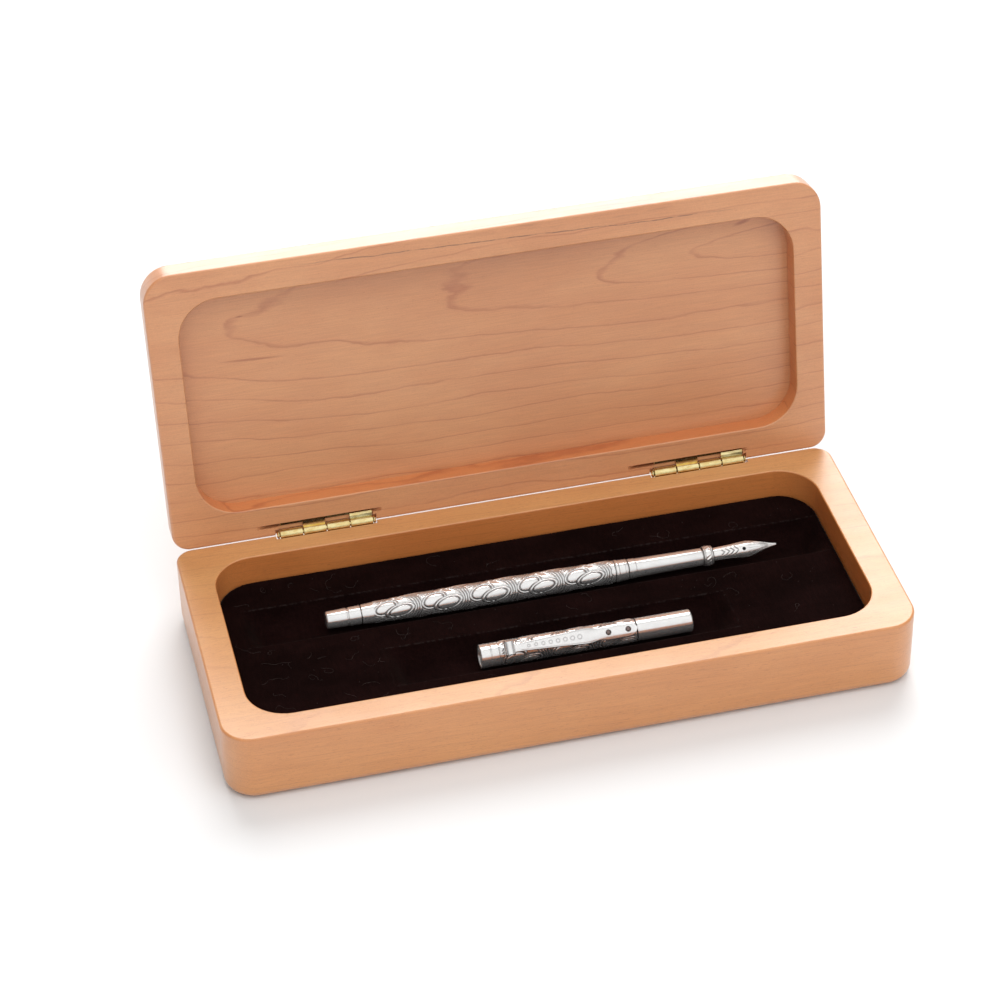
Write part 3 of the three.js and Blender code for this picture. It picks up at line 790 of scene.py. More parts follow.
def hinge_length():
    return KNUCKLES * KNUCKLE_LENGTH + (KNUCKLES - 1) * KNUCKLE_GAP


def knuckle_start(middle, index):
    return middle - hinge_length() / 2 + index * (KNUCKLE_LENGTH + KNUCKLE_GAP)


def knuckle(x0, place):
    x1 = x0 + KNUCKLE_LENGTH
    ring = rounded([(x0, KNUCKLE_INNER), (x0, KNUCKLE_OUTER), (x1, KNUCKLE_OUTER), (x1, KNUCKLE_INNER)], 0.14,
                   closed=True)
    return turned_object("knuckle", ring, place, 64, closed=True)


def make_lid_leaf(name):
    """Lid leaf: every second knuckle, a bent tab from each and the blade that sits in the kerf."""
    middle, y, t = hinge_middle(name), kerf_y(), LEAF / 2
    top, half = t + GAP, hinge_length() / 2
    outline = rounded([(middle - half, top), (middle + half, top), (middle + half - 5, top + BLADE_DEPTH),
                       (middle - half + 5, top + BLADE_DEPTH)], 0.8, closed=True, steps=4)
    loops = [[(x, across, z) for x, z in outline] for across in (y - t, y + t)]
    leaf = mesh_object(f"{name}_lid_leaf_brass", *loft(loops), LID_FRAME)
    wall, low = -(KNUCKLE_OUTER + KNUCKLE_INNER) / 2, GAP / 2
    high = low + LEAF
    bend = [(y - t, low), (wall, low), (wall, high), (y + t, high), (y + t, top + t), (y - t, top + t)]
    parts = []
    for index in range(1, KNUCKLES, 2):
        x0 = knuckle_start(middle, index)
        loops = [[(x, across, z) for across, z in bend] for x in (x0 + 0.02, x0 + KNUCKLE_LENGTH - 0.02)]
        parts += [mesh_object("tab", *loft(loops), LID_FRAME), knuckle(x0, LID_FRAME)]
    combine(leaf, parts, "UNION")
    shade(leaf, 35)
    put(leaf, "lid", "brass", LOOKS["brass"], f"{name}_lid_leaf")


def make_base_leaf(name):
    """Base leaf: the other knuckles, a tab down the front of each and the foot in the slot."""
    middle, t = hinge_middle(name), LEAF / 2
    leaf = block(f"{name}_base_leaf_brass", (middle - FOOT_HALF, FOOT_Y - t, -FOOT_END),
                 (middle + FOOT_HALF, FOOT_Y + t, -FOOT_TOP), AXIS_FRAME)
    parts = []
    for index in range(0, KNUCKLES, 2):
        x0 = knuckle_start(middle, index)
        low = (max(x0, middle - FOOT_HALF) + 0.02, FOOT_Y - t, -FOOT_TOP - 0.2)
        high = (x0 + KNUCKLE_LENGTH - 0.02, FOOT_Y + t, 0.0)
        parts += [block("tab", low, high, AXIS_FRAME), knuckle(x0, AXIS_FRAME)]
    combine(leaf, parts, "UNION")
    shade(leaf, 35)
    put(leaf, "base", "brass", LOOKS["brass"], f"{name}_base_leaf")


def make_hinge_pin(name):
    middle = hinge_middle(name)
    half = hinge_length() / 2 + GAP
    end = half + PIN_HEAD_LENGTH
    side = [(half, PIN_RADIUS), (half, PIN_HEAD_RADIUS), (half + 0.3, PIN_HEAD_RADIUS), (end, 0.75), (end, 0)]
    profile = [(-x, r) for x, r in reversed(side)] + side
    profile = [(x + middle, r) for x, r in rounded(profile, 0.15)]
    pin = turned_object(f"{name}_pin_brass", profile, AXIS_FRAME, 40)
    put(pin, "base", "brass", LOOKS["brass"], f"{name}_pin")


def make_hinges():
    for name in KERF_SHIFT:
        make_base_leaf(name)
        make_lid_leaf(name)
        make_hinge_pin(name)


# ---------------------------------------------------------------- velvet insert

def trough_half_width():
    return math.sqrt(TROUGH_RADIUS ** 2 - (TROUGH_RADIUS - TROUGH_DEPTH) ** 2)


def velvet_surface(x, y, top, border):
    """Height of the velvet over plan points, and from 0 to 1 how strongly it gets the pale line of worn pile
    and painted sheen.
    """
    height = np.full_like(x, top)
    wear_and_sheen = np.zeros_like(x)
    for middle, start, end in TROUGHS:
        off = np.abs(y - middle)
        round_part = np.sqrt(np.maximum(TROUGH_RADIUS ** 2 - off ** 2, 0.04))
        bottom = top - TROUGH_DEPTH + TROUGH_RADIUS - round_part
        open_top = 0.5 * (bottom + top - np.sqrt((bottom - top) ** 2 + 0.05))
        ends = smooth((x - start + 0.3) / 6.0) * smooth((end + 0.3 - x) / 6.0)
        height = np.where(off < TROUGH_RADIUS, height - (top - open_top) * ends, height)
        lip = hump(off, trough_half_width() + 0.05, 0.15)
        along = smooth((x - start + 1.5) / 2) * smooth((end + 1.5 - x) / 2)
        height += 0.04 * lip * along
        # The pale line of worn pile and painted sheen follows the troughs' lips.
        wear_and_sheen = np.maximum(wear_and_sheen, lip * along)
        for stop, sign in ((start, -1), (end, 1)):
            cross = hump(sign * (x - stop), 0.35, 0.25) * (off < trough_half_width())
            wear_and_sheen = np.maximum(wear_and_sheen, 0.2 * cross)
    roll = smooth(1 - border / 1.3)
    return height - 0.9 * roll * roll, wear_and_sheen


def spaced(start, end, coarse, fine, stops, reach):
    """Positions from start to end, coarse apart and fine apart within reach of each stop."""
    positions = [start]
    while positions[-1] < end - 1e-6:
        here = positions[-1]
        close = min((abs(here - s) for s in stops), default=1e9)
        positions.append(min(end, here + (fine if close < reach else coarse)))
    return np.array(positions)


def velvet_grid(low, high):
    """Plan points of the velvet, closest at the troughs' edges, and their distance from its border."""
    corner = TRAY_CORNER - GAP
    lips = [m + s * trough_half_width() for m, _, _ in TROUGHS for s in (-1, 1)]
    rows = spaced(low[1], high[1], 0.75, 0.22, lips + [low[1], high[1]], 1.1)
    stops = [v for _, start, end in TROUGHS for v in (start, end)]
    columns = spaced(low[0], high[0], 1.3, 0.16, stops + [low[0], high[0]], 0.9) / high[0]
    near = np.maximum(0, np.maximum(low[1] + corner - rows, rows - high[1] + corner))
    half_width = high[0] - corner + np.sqrt(np.maximum(corner ** 2 - near ** 2, 0.0))
    y, _ = np.meshgrid(rows, columns, indexing="ij")
    x = np.outer(half_width, columns)
    past_x = np.abs(x) - (high[0] - corner)
    past_y = np.abs(y - (low[1] + high[1]) / 2) - ((high[1] - low[1]) / 2 - corner)
    corner_away = np.hypot(np.maximum(past_x, 0), np.maximum(past_y, 0))
    return x, y, np.maximum(corner - corner_away, 0)


def make_velvet():
    """One sheet of velvet laid over the insert, down into both troughs and rolled over at the border."""
    low, high = box_mm("velvet_lining")
    x, y, border = velvet_grid(low, high)
    z, wear_and_sheen = velvet_surface(x, y, high[2] - 0.05, border)
    sway = np.array([noise.noise((a * 0.06, b * 0.09, 3.0)) for a, b in zip(x.ravel(), y.ravel())])
    z = np.minimum(z + 0.07 * sway.reshape(z.shape), high[2])
    verts = np.stack([x, y, z], axis=-1).reshape(-1, 3)
    sheet = mesh_object("velvet_sheet", verts, grid_faces(*x.shape, wrap_columns=False), smooth_angle=80)
    if sheet.data.polygons[0].normal.z < 0:
        sheet.data.flip_normals()
    add_values(sheet, "wear_and_sheen", carried_values(sheet, WORLD_FRAME, verts, wear_and_sheen.ravel()))
    modifier = sheet.modifiers.new("thickness", "SOLIDIFY")
    modifier.thickness = VELVET_THICK * MM
    modifier.offset = -1.0
    bake(sheet)
    shade(sheet, 80)
    put(sheet, "base", "velvet", LOOKS["velvet"], "velvet_lining")


def make_lint():
    """A few curled fibres and specks of dust lying on the velvet."""
    rng = np.random.default_rng(11)
    top = box_mm("velvet_lining")[1][2]
    verts, faces = [], []
    for index in range(LINT_PIECES):
        curly = index < CURLED_PIECES
        if curly:
            x = rng.uniform(-86, -20) if index % 3 else rng.uniform(-20, 84)
            y = rng.uniform(-31, 6) if index % 4 else rng.uniform(21, 31)
        else:
            x, y = rng.uniform(-88, 88), rng.uniform(-32, 32)
        heading, turn = rng.uniform(0, 2 * math.pi), rng.uniform(-0.2, 0.2)
        steps = int(rng.integers(10, 34)) if curly else 2
        path = []
        for _ in range(steps):
            path.append((x, y))
            turn = 0.75 * turn + rng.uniform(-0.28, 0.28)
            heading += turn
            x, y = x + LINT_STEP * math.cos(heading), y + LINT_STEP * math.sin(heading)
        px, py = np.array(path).T
        z, _ = velvet_surface(px, py, top, np.full_like(px, 10.0))
        if z.min() < top - 0.2 or np.abs(py).max() > 33:
            continue
        lift = 0.08 + 0.10 * np.abs(np.sin(np.arange(steps) * 0.9))
        radius = 0.02 if curly else 0.035
        add_fibre(verts, faces, np.stack([px, py, np.minimum(z + lift, top + 0.25)], axis=-1), radius)
    lint = mesh_object("lint_fibres", verts, faces)
    lint.data.materials.append(LOOKS["lint"])
    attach(lint, "base")


def add_fibre(verts, faces, path, radius):
    """Adds a thin four-sided tube along path, closed at both ends."""
    start = len(verts)
    for i, point in enumerate(path):
        tangent = path[min(i + 1, len(path) - 1)] - path[max(i - 1, 0)]
        tangent = tangent / max(np.linalg.norm(tangent), 1e-6)
        side = np.cross(tangent, (0, 0, 1.0))
        side = side / max(np.linalg.norm(side), 1e-6)
        up = np.cross(side, tangent)
        for a in range(4):
            angle = math.pi / 2 * a
            verts.append(point + radius * (math.cos(angle) * side + math.sin(angle) * up))
    count = len(path)
    faces.extend(tuple(start + v for v in f) for f in grid_faces(count, 4))
    faces.append(tuple(start + a for a in range(4)))
    faces.append(tuple(start + 4 * (count - 1) + a for a in range(4)))


# ---------------------------------------------------------------- chased ornament

def tilted(ds, dt, centre, tilt):
    """Offsets from centre along and across a direction tilted by tilt degrees."""
    a = math.radians(tilt)
    s, t = ds - centre[0], dt - centre[1]
    return s * math.cos(a) + t * math.sin(a), -s * math.sin(a) + t * math.cos(a)


def lobe(height, ds, dt, centre, size, tilt, dome):
    """A domed oval inside two cut lines, laid over what is there."""
    along, across = tilted(ds, dt, centre, tilt)
    q = np.sqrt((along / size[0]) ** 2 + (across / size[1]) ** 2)
    edge = (q - 1) * size[1]
    shape = np.where(q < 1, dome * np.sqrt(np.maximum(1 - q * q, 0)), 0)
    shape = shape - 0.15 * hump(edge, 0.10, 0.12) + 0.09 * hump(edge, 0.38, 0.13)
    shape = shape - 0.12 * hump(edge, 0.66, 0.10)
    cover = smooth((0.95 - edge) / 0.3)
    return height * (1 - cover) + shape * cover


def ripples(height, ds, dt, centre, radii, first, last):
    """Raised curved lines round a centre between two directions in degrees."""
    s, t = ds - centre[0], dt - centre[1]
    distance = np.hypot(s, t * 1.12)
    direction = np.degrees(np.arctan2(t, s))
    window = smooth((direction - first) / 14) * smooth((last - direction) / 14)
    for radius in radii:
        ridge, cut = 0.10 * hump(distance, radius, 0.19), 0.15 * hump(distance, radius + 0.36, 0.12)
        height = height + (ridge - cut) * window
    return height


def chased_height(length, arc, around, first):
    """Height of the ornament: rows of overlapping ovals with curved lines fanning out beyond them."""
    height = np.zeros_like(length)
    row_pitch = around / CHASING_ROWS
    for row in range(CHASING_ROWS):
        dt = (arc - row * row_pitch + around / 2) % around - around / 2
        shift = first + row * CHASING_PITCH / CHASING_ROWS
        ds = (length - shift + CHASING_PITCH / 2) % CHASING_PITCH - CHASING_PITCH / 2
        near = np.abs(dt) < row_pitch * 0.75
        unit = np.zeros_like(length)
        for step in (-1, 0, 1):
            along = ds - step * CHASING_PITCH
            unit = ripples(unit, along, dt, (1.6, 0.0), (4.4, 5.2, 6.0, 6.8), -75, 118)
        for step in (1, 0, -1):
            along = ds - step * CHASING_PITCH
            unit = lobe(unit, along, dt, (-2.2, 0.85), (3.0, 1.8), 20, 0.24)
            unit = lobe(unit, along, dt, (2.1, -0.75), (3.2, 1.5), 12, 0.22)
        fade = smooth((row_pitch * 0.72 - np.abs(dt)) / 1.2)
        height = np.where(near, height + unit * fade, height)
    return np.clip(height, -0.14, 0.24)


def chasing(first, last, turn):
    """Relief for turned(): the ornament between two lengths, faded out at its ends."""
    def relief(length, around, radius):
        circumference = 2 * math.pi * CHASING_RADIUS
        arc = (around + turn) % (2 * math.pi) / (2 * math.pi) * circumference
        inside = smooth((length - first) / 0.7) * smooth((last - length) / 0.7)
        outer = radius > 2.8
        return np.where(outer, chased_height(length, -arc, circumference, first + 6.0) * inside, 0.0)
    return relief


def mark_hollows(obj, place, profile, low=-0.02, high=-0.10):
    """Attribute "hollow": 1 where the surface lies below the plain turned profile."""
    x, y, z = local_points(obj, place).T
    below = np.hypot(y, z) - read_curve(x, profile)
    add_values(obj, "hollow", smooth((below - low) / (high - low)) * (below > -0.3))


def dense(points, step):
    """The outline resampled so that no two points are further apart in x than step."""
    points = np.asarray(points, float)
    out = [points[0]]
    for a, b in zip(points, points[1:]):
        count = max(1, int(math.ceil(abs(b[0] - a[0]) / step)))
        out.extend(a + (b - a) * (i + 1) / count for i in range(count))
    return np.array(out)


# ---------------------------------------------------------------- pen

def smooth_outline(points):
    """A smooth curve through (x, radius) points."""
    points = np.asarray(points, float)
    x = np.arange(points[0, 0], points[-1, 0] + 1e-6, 0.5)
    slope = np.gradient(points[:, 1], points[:, 0])
    index = np.clip(np.searchsorted(points[:, 0], x, side="right") - 1, 0, len(points) - 2)
    width = points[index + 1, 0] - points[index, 0]
    t = (x - points[index, 0]) / width
    r = ((2 * t ** 3 - 3 * t ** 2 + 1) * points[index, 1] + (t ** 3 - 2 * t ** 2 + t) * width * slope[index]
         + (3 * t ** 2 - 2 * t ** 3) * points[index + 1, 1] + (t ** 3 - t ** 2) * width * slope[index + 1])
    return np.stack([x, r], axis=-1)


def make_barrel():
    start = PLUG_END + GAP
    outer = smooth_outline([(start, 2.95), (13.2, 3.13), (19.2, 3.33), (29.2, 3.55), (43.2, 3.66),
                            (59.2, 3.68), (73.2, 3.6), (81.2, 3.5), (BARREL_END, 3.42)])
    outer = dense(outer, 0.17)
    bore = [(BARREL_END, 2.55), (18.2, 2.55), (16.7, 1.9), (start, 1.9)]
    relief = chasing(start + 3.3, BARREL_END - 0.5, math.radians(-10))
    barrel = turned_object("chased_barrel", np.vstack([outer, bore]), PEN_FRAME, TURNED_SEGMENTS, closed=True,
                           relief=relief, smooth_angle=75)
    mark_hollows(barrel, PEN_FRAME, outer)
    put(barrel, "pen", "silver", LOOKS["silver"], "pen_barrel")


def simple_turned(name, profile, place, body, slot, look, node, radius=0.12, closed=False, segments=64):
    made = turned_object(name, rounded(profile, radius, closed), place, segments, closed)
    return put(made, body, slot, look, node)


def pen_fitting(name, profile, node, closed=False):
    simple_turned(name, profile, PEN_FRAME, "pen", "silver", LOOKS["silver"], node, closed=closed)


def make_pen_fittings():
    pen_fitting("end_plug", [(0, 0), (0, 2.35), (0.35, 2.62), (6.2, 2.82), (6.3, 2.5), (6.65, 2.5),
                             (6.75, 2.83), (PLUG_END, 2.91), (PLUG_END, 1.55), (16.2, 1.55), (16.2, 0)],
                "barrel_end_plug")
    start, end = BARREL_END + GAP, RING_END
    pen_fitting("trim_ring", [(start, 2.55), (start, 3.36), (start + 0.35, 3.48), (start + 0.9, 3.48),
                              (start + 1.2, 3.3), (end - 1.0, 3.3), (end - 0.8, 3.2), (end - 0.55, 3.2),
                              (end - 0.4, 3.28), (end, 3.2), (end, 2.55)], "barrel_trim_ring", closed=True)
    shoulder = RING_END + GAP
    pen_fitting("grip", [(79.2, 1.8), (79.2, 2.25), (shoulder, 2.25), (shoulder, 3.08), (shoulder + 0.5, 3.1),
                         (STEP_END - 0.5, 3.08), (STEP_END - 0.3, 2.96), (101.2, 2.88),
                         (SECTION_END - 10, 2.8), (SECTION_END, 2.71), (SECTION_END, NIB_SEAT),
                         (106.7, NIB_SEAT), (106.7, 1.8)], "grip_section", closed=True)


def make_collar():
    """Rope-turned collar between two beads."""
    start, end = COLLAR_START, COLLAR_END
    outer = rounded([(start, 2.35), (start, 2.86), (start + 0.25, 3.02), (start + 0.5, 2.92),
                     (start + 0.75, 3.05), (end - 1.0, 3.05), (end - 0.75, 2.92), (end - 0.5, 3.0),
                     (end - 0.15, 2.85), (end, 2.7), (end, 2.35)], 0.1, closed=True)
    outer = dense(np.vstack([outer, outer[:1]]), 0.08)[:-1]

    def twist(length, around, radius):
        inside = smooth((length - start - 0.7) / 0.2) * smooth((end - 0.95 - length) / 0.2) * (radius > 2.6)
        return 0.07 * inside * np.cos(16 * around + 3.4 * (length - start))
    collar = turned_object("rope_collar", outer, PEN_FRAME, 160, closed=True, relief=twist, smooth_angle=75)
    mark_hollows(collar, PEN_FRAME, np.array([(start, 3.0), (end, 3.0)]), 0.0, -0.09)
    put(collar, "pen", "silver", LOOKS["nib"], "section_collar")


def nib_half_width(x):
    """Half width of the nib seen from above."""
    return read_curve(x, [(COLLAR_END - 9, 1.9), (COLLAR_END, 1.95), (124, 2.05), (127, 2.3), (129.8, 2.5),
                          (130.7, 2.4), (132.2, 2.0), (134.2, 1.36), (136.2, 0.86), (138.2, 0.4),
                          (NIB_TIP - 0.4, 0.24)])


def nib_radius(x):
    """Radius of the nib's arched section."""
    return read_curve(x, [(COLLAR_END - 9, 2.08), (COLLAR_END, 2.12), (130, 2.66), (134, 2.1),
                          (NIB_TIP - 0.4, 0.95)])


def make_nib():
    """Thin curved shell with an engraved border, a breather hole and a slit."""
    start, end = COLLAR_END - 8.9, NIB_TIP - 0.4
    x, across = np.meshgrid(np.linspace(start, end, 190), np.linspace(-1, 1, 61), indexing="ij")
    half, radius = nib_half_width(x), nib_radius(x)
    y = half * across
    arch = np.sqrt(np.maximum(radius ** 2 - y ** 2, 0.0))
    inset = half - np.abs(y)
    free = smooth((x - 121.0) / 2) * smooth((137.7 - x) / 2)
    border = hump(inset, 0.42, 0.10) + 0.8 * hump(inset, 0.72, 0.08)
    inner = smooth((inset - 0.9) / 0.2) * smooth((127.4 - x) / 0.5) * smooth((x - 121.5) / 0.5)
    leaves = 0.5 + 0.5 * np.cos(2 * math.pi * ((x - 121.2) / 1.5 + np.abs(y) / 1.4))
    relief = -0.05 * border * free - 0.045 * inner * smooth((leaves - 0.62) / 0.2)
    top = np.stack([x, y, arch + relief], axis=-1)
    thick = read_curve(x, [(start, 0.28), (134, 0.28), (end, 0.34)])
    scale = np.maximum(radius - thick, 0.1) / radius
    under = np.stack([x, y * scale, arch * scale], axis=-1)
    ring = np.concatenate([top, under[:, ::-1]], axis=1)
    nib = mesh_object("nib_shell", *loft([[tuple(p) for p in loop] for loop in ring]), PEN_FRAME, 50)
    upright = Matrix.Translation(Vector((128.8, 0, 2.4)) * MM) @ Matrix.Rotation(math.pi / 2, 4, "Y")
    hole = rod("breather", -1.0, 1.0, 0.55, PEN_FRAME @ upright, segments=32)
    slit = block("slit", (128.8, -0.035, 0.0), (NIB_TIP + 1, 0.035, 4.0), PEN_FRAME)
    combine(nib, [hole, slit], "DIFFERENCE")
    shade(nib, 50)
    x, y, z = local_points(nib, PEN_FRAME).T
    below = nib_radius(x) - np.hypot(y, z)
    add_values(nib, "hollow", (below > 0.02) & (below < 0.1))
    put(nib, "pen", "silver", LOOKS["nib"], "nib")


def make_feed():
    """Finned ink feed under the nib."""
    profile = [(107.2, 0), (107.2, 1.4), (COLLAR_END, 1.42)]
    for x in np.arange(120.2, 128.7, 0.55):
        outer = float(read_curve(x, [(119.2, 1.45), (127.2, 1.7)]))
        profile += [(x, outer - 0.22), (x, outer), (x + 0.28, outer), (x + 0.28, outer - 0.22)]
    profile += [(129.4, 1.5), (130.5, 1.38), (132.2, 0.98), (133.4, 0.66), (134, 0.0)]
    simple_turned("nib_feed", profile, PEN_FRAME, "pen", "black_plastic", LOOKS["black_plastic"], "feed",
                  radius=0.03, segments=40)


# ---------------------------------------------------------------- cap

def make_cap_tube():
    outer = [(0, 3.42), (0.18, 3.56), (0.5, 3.6)]
    for x in (3.1, 5.6):
        outer += [(x - 0.22, 3.6), (x - 0.08, 3.46), (x + 0.08, 3.46), (x + 0.22, 3.6)]
    outer += [(30, 3.52), (CAP_TUBE_END - 0.1, CAP_CROWN_RADIUS), (CAP_TUBE_END, CAP_CROWN_RADIUS - 0.1)]
    outer = dense(outer, 0.17)
    inner = [(CAP_TUBE_END, CAP_CROWN_RADIUS - CAP_WALL), (0.5, CAP_MOUTH_RADIUS - CAP_WALL), (0.05, 3.3)]
    relief = chasing(6.0, CAP_TUBE_END - 0.3, math.radians(-62))
    tube = turned_object("chased_cap", np.vstack([outer, inner]), CAP_FRAME, TURNED_SEGMENTS, closed=True,
                         relief=relief, smooth_angle=75)
    mark_hollows(tube, CAP_FRAME, outer)
    put(tube, "cap", "silver", LOOKS["silver"], "cap_tube")


def make_cap_crown():
    start, end, radius = CAP_CROWN_START, CAP_CROWN_END, CAP_CROWN_RADIUS
    simple_turned("crown", [(start, radius - CAP_WALL), (start, radius - 0.06), (start + 0.12, radius),
                            (end - 0.35, radius), (end, radius - 0.3), (end, 0), (end - 1, 0),
                            (end - 1, radius - CAP_WALL), (start, radius - CAP_WALL)],
                  CAP_FRAME, "cap", "silver", LOOKS["silver"], "cap_crown", radius=0.2)


def clip_path():
    """Middle line of the clip in its X-Z plane, from the end of the roll to the end of the root plate."""
    radius = CLIP_ROLL_RADIUS - CLIP_THICK / 2
    angles = np.radians(np.linspace(-25, 292, 34))
    path = [(CLIP_ROLL_X + radius * math.cos(a), CLIP_ROLL_HEIGHT + radius * math.sin(a)) for a in angles]
    plate = CLIP_PLATE_RADIUS + CLIP_THICK / 2
    path += [(9.3, 4.46), (10.2, 4.72), (11.4, 4.92), (13, 5.0), (17, 5.02), (22, 5.0), (26, 4.95),
             (28.5, 4.88), (30.5, 4.74), (32.5, 4.46), (34.2, 4.25), (35.5, plate + 0.02), (37, plate),
             (40, plate), (43, plate), (45.5, plate), (CLIP_ROOT_END, plate)]
    return np.array(path)


def lengths_along(path):
    """Distance of each point of a polyline from its start."""
    return np.concatenate([[0], np.cumsum(np.hypot(*np.diff(path, axis=0).T))])


def softened(values):
    """The values averaged with their neighbours three times over, with both ends kept."""
    for _ in range(3):
        values[1:-1] = (values[:-2] + 2 * values[1:-1] + values[2:]) / 4
    return values


def resampled(path, step):
    """Points of a polyline at equal distances, smoothed a little."""
    away = lengths_along(path)
    at = np.linspace(0, away[-1], int(away[-1] / step))
    return softened(np.stack([np.interp(at, away, path[:, k]) for k in (0, 1)], axis=-1))


def arm_half_width(x):
    """Half width of the clip's arm and root plate."""
    return read_curve(x, [(8.6, 1.6), (9.6, 1.3), (10.3, 1.25), (13, 1.38), (20, 1.75), (27, 2.15),
                          (31, 2.36), (32.5, 2.36), (33.8, 2.15), (35.0, 1.92), (36.0, 1.92), (37.2, 2.16),
                          (38.5, 2.3), (44.2, 2.3), (45.6, 2.0), (46.5, 1.35), (CLIP_ROOT_END, 0.35)])


def clip_marks(x, y, half):
    """Depth, from 0 to 1, of a border line and a row of small plain rings cut into the clip's arm."""
    border = hump(half - np.abs(y), 0.42, 0.08)
    marks = border * float(smooth((x - 11) / 1.0) * smooth((35 - x) / 2.0))
    for centre in np.arange(14.0, 30.0, 2.2):
        size = 0.28 * float(arm_half_width(centre))
        marks = np.maximum(marks, hump(np.hypot(x - centre, y), size, 0.11))
    return marks


def clip_loop(x, z, normal, half, rolled):
    """Section of the clip across its middle line at one point, as a closed loop."""
    y = half * np.linspace(-1, 1, 33)
    flatness = 0.0 if rolled else float(smooth((x - 30) / 8))
    bend_radius = CLIP_PLATE_RADIUS + CLIP_THICK / 2
    curve = (np.sqrt(np.maximum(bend_radius ** 2 - y ** 2, 0.0)) - bend_radius) * flatness
    crown = 0.0 if rolled else 0.10 * (1 - (y / half) ** 2) * (1 - flatness)
    corner = np.clip((np.abs(y) - half + 0.22) / 0.22, 0, 1)
    round_off = 0.5 * CLIP_THICK * (1 - np.sqrt(np.maximum(1 - corner ** 2, 0)))
    marks = 0.0 if rolled else 0.06 * clip_marks(x, y, half)
    upper = CLIP_THICK / 2 - round_off - marks + crown + curve
    lower = -CLIP_THICK / 2 + round_off + crown * 0.6 + curve
    sides = zip(np.concatenate([upper, lower[::-1]]), np.concatenate([y, y[::-1]]))
    return [(x + h * normal[0], b, z + h * normal[1]) for h, b in sides]


def upright_at(x):
    """Frame on the cap's axis at x with its X axis pointing out towards the clip."""
    return CAP_FRAME @ Matrix.Translation(Vector((x, 0, 0)) * MM) @ Matrix.Rotation(-math.pi / 2, 4, "Y")


def make_clip():
    """Spring clip lofted along its middle line, with rounded edges, engraved marks and rivet holes."""
    path = resampled(clip_path(), 0.14)
    tangent = np.gradient(path, axis=0)
    tangent /= np.linalg.norm(tangent, axis=1)[:, None]
    out = np.stack([-tangent[:, 1], tangent[:, 0]], axis=-1)
    in_roll = lengths_along(path) < math.radians(300) * (CLIP_ROLL_RADIUS - CLIP_THICK / 2)
    widths = softened(np.where(in_roll, CLIP_ROLL_HALF_WIDTH, arm_half_width(path[:, 0])))
    loops = [clip_loop(x, z, normal, half, rolled)
             for (x, z), normal, half, rolled in zip(path, out, widths, in_roll)]
    clip = mesh_object("spring_clip", *loft(loops), CAP_FRAME, 50)
    holes = [rod("rivet_hole", 2.0, 6.0, 0.88, upright_at(x), segments=32) for x in RIVETS]
    combine(clip, holes, "DIFFERENCE")
    shade(clip, 50)
    x, y, _ = local_points(clip, CAP_FRAME).T
    arm = (x > 10.5) & (x < 35)
    depth = [float(clip_marks(a, b, float(arm_half_width(a)))) if inside else 0.0
             for a, b, inside in zip(x, y, arm)]
    add_values(clip, "hollow", 0.7 * np.array(depth))
    clip.data.materials.clear()
    clip.data.materials.append(LOOKS["silver"])
    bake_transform(clip)
    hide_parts("clip")


def make_rivets():
    for x, name, node in zip(RIVETS, ("rivet_front", "rivet_rear"), ("clip_rivet_front", "clip_rivet_rear")):
        profile = rounded([(3.28, 0), (3.28, 0.68), (4.25, 0.68), (4.42, 0.6), (4.52, 0.3), (4.54, 0)], 0.06)
        rivet = turned_object(name, profile, upright_at(x), 32)
        put(rivet, "cap", "blackened_silver", LOOKS["rivet"], node)


# ---------------------------------------------------------------- hidden parts kept from the CAD model

def dress_cad_nodes():
    looks = {"insert_core": "core", "converter_tube": "clear", "converter_piston": "black_plastic",
             "converter_knob": "black_plastic", "cap_liner": "black_plastic"}
    for node, look in looks.items():
        mesh = frame["nodes"][node].data
        mesh.materials.clear()
        mesh.materials.append(LOOKS[look])


# ---------------------------------------------------------------- studio

def make_floor():
    corners = ((-1, -1), (1, -1), (1, 1), (-1, 1))
    verts = [(x * FLOOR_SIZE, y * FLOOR_SIZE, -FLOOR_DROP) for x, y in corners]
    floor = mesh_object("studio_floor", verts, [(0, 1, 2, 3)])
    floor.data.materials.append(floor_material())


def distant_lamp(name, azimuth, elevation, width, radiance, in_reflections=True):
    """A round lamp far away, width degrees across, azimuth degrees from the back towards the right."""
    data = bpy.data.lights.new(name, "SUN")
    data.angle = math.radians(width)
    data.energy = radiance * math.pi * math.sin(data.angle / 2) ** 2
    lamp = bpy.data.objects.new(name, data)
    bpy.context.scene.collection.objects.link(lamp)
    lamp.rotation_euler = (-direction(azimuth, elevation)).to_track_quat("-Z", "Y").to_euler()
    lamp.visible_glossy = in_reflections


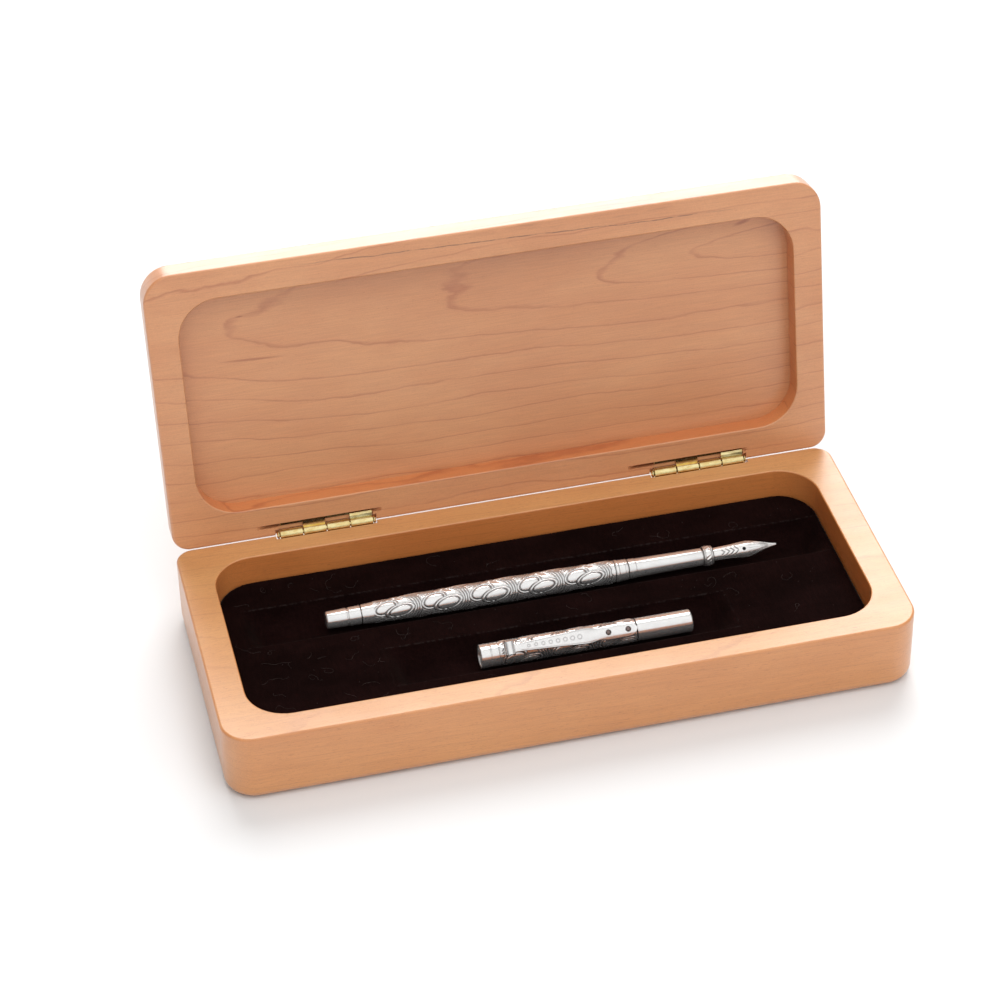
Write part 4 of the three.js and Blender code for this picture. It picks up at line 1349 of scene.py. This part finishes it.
def direction(azimuth, elevation):
    """Unit vector, azimuth in degrees from the back towards the right."""
    a, e = math.radians(azimuth), math.radians(elevation)
    return Vector((math.sin(a) * math.cos(e), math.cos(a) * math.cos(e), math.sin(e)))


def make_studio():
    """A dim pale room, bright low down and high in front, with two broad lamps behind and one in front."""
    world = bpy.data.worlds.new("studio")
    world.use_nodes = True
    bpy.context.scene.world = world
    g = Graph(world.node_tree)
    ray = g.node("ShaderNodeTexCoord").outputs["Generated"]
    inputs = {0: ray, 1: tuple(direction(168, 57))}
    facing = g.node("ShaderNodeVectorMath", inputs, operation="DOT_PRODUCT").outputs["Value"]
    soft = g.band(facing, 0.42, 0.95, 0.22, 1.0)
    horizon = g.band(g.split(ray)[2], 0.10, 0.20, 0.85, 0.0)
    level = g.math("MAXIMUM", soft, horizon)
    background = g.node("ShaderNodeBackground", {"Color": (1.0, 1.0, 1.0, 1.0), "Strength": level})
    output = g.node("ShaderNodeOutputWorld")
    world.node_tree.links.new(background.outputs[0], output.inputs["Surface"])
    distant_lamp("high_back_lamp", 14, 50, 40, 5.8)
    distant_lamp("low_back_lamp", 14, 16, 40, 3.5)
    distant_lamp("overhead_lamp", 172, 80, 50, 1.3, in_reflections=False)
    distant_lamp("front_fill_lamp", 172, 50, 60, 0.7, in_reflections=False)


def make_camera():
    data = bpy.data.cameras.new("camera")
    data.sensor_width = SENSOR_WIDTH
    data.lens = LENS
    data.clip_start, data.clip_end = 0.05, 20.0
    camera = bpy.data.objects.new("camera", data)
    bpy.context.scene.collection.objects.link(camera)
    camera.location = CAMERA_PLACE
    camera.rotation_euler = tuple(math.radians(a) for a in CAMERA_TURN)
    bpy.context.scene.camera = camera
    view = bpy.context.scene.view_settings
    view.view_transform = "Standard"
    view.look = "None"


for make in (make_camera, make_studio, make_floor, make_base, make_lid, make_hinges, make_velvet, make_lint,
             make_barrel, make_pen_fittings, make_collar, make_nib, make_feed, make_cap_tube, make_cap_crown,
             make_clip, make_rivets, dress_cad_nodes):
    make()
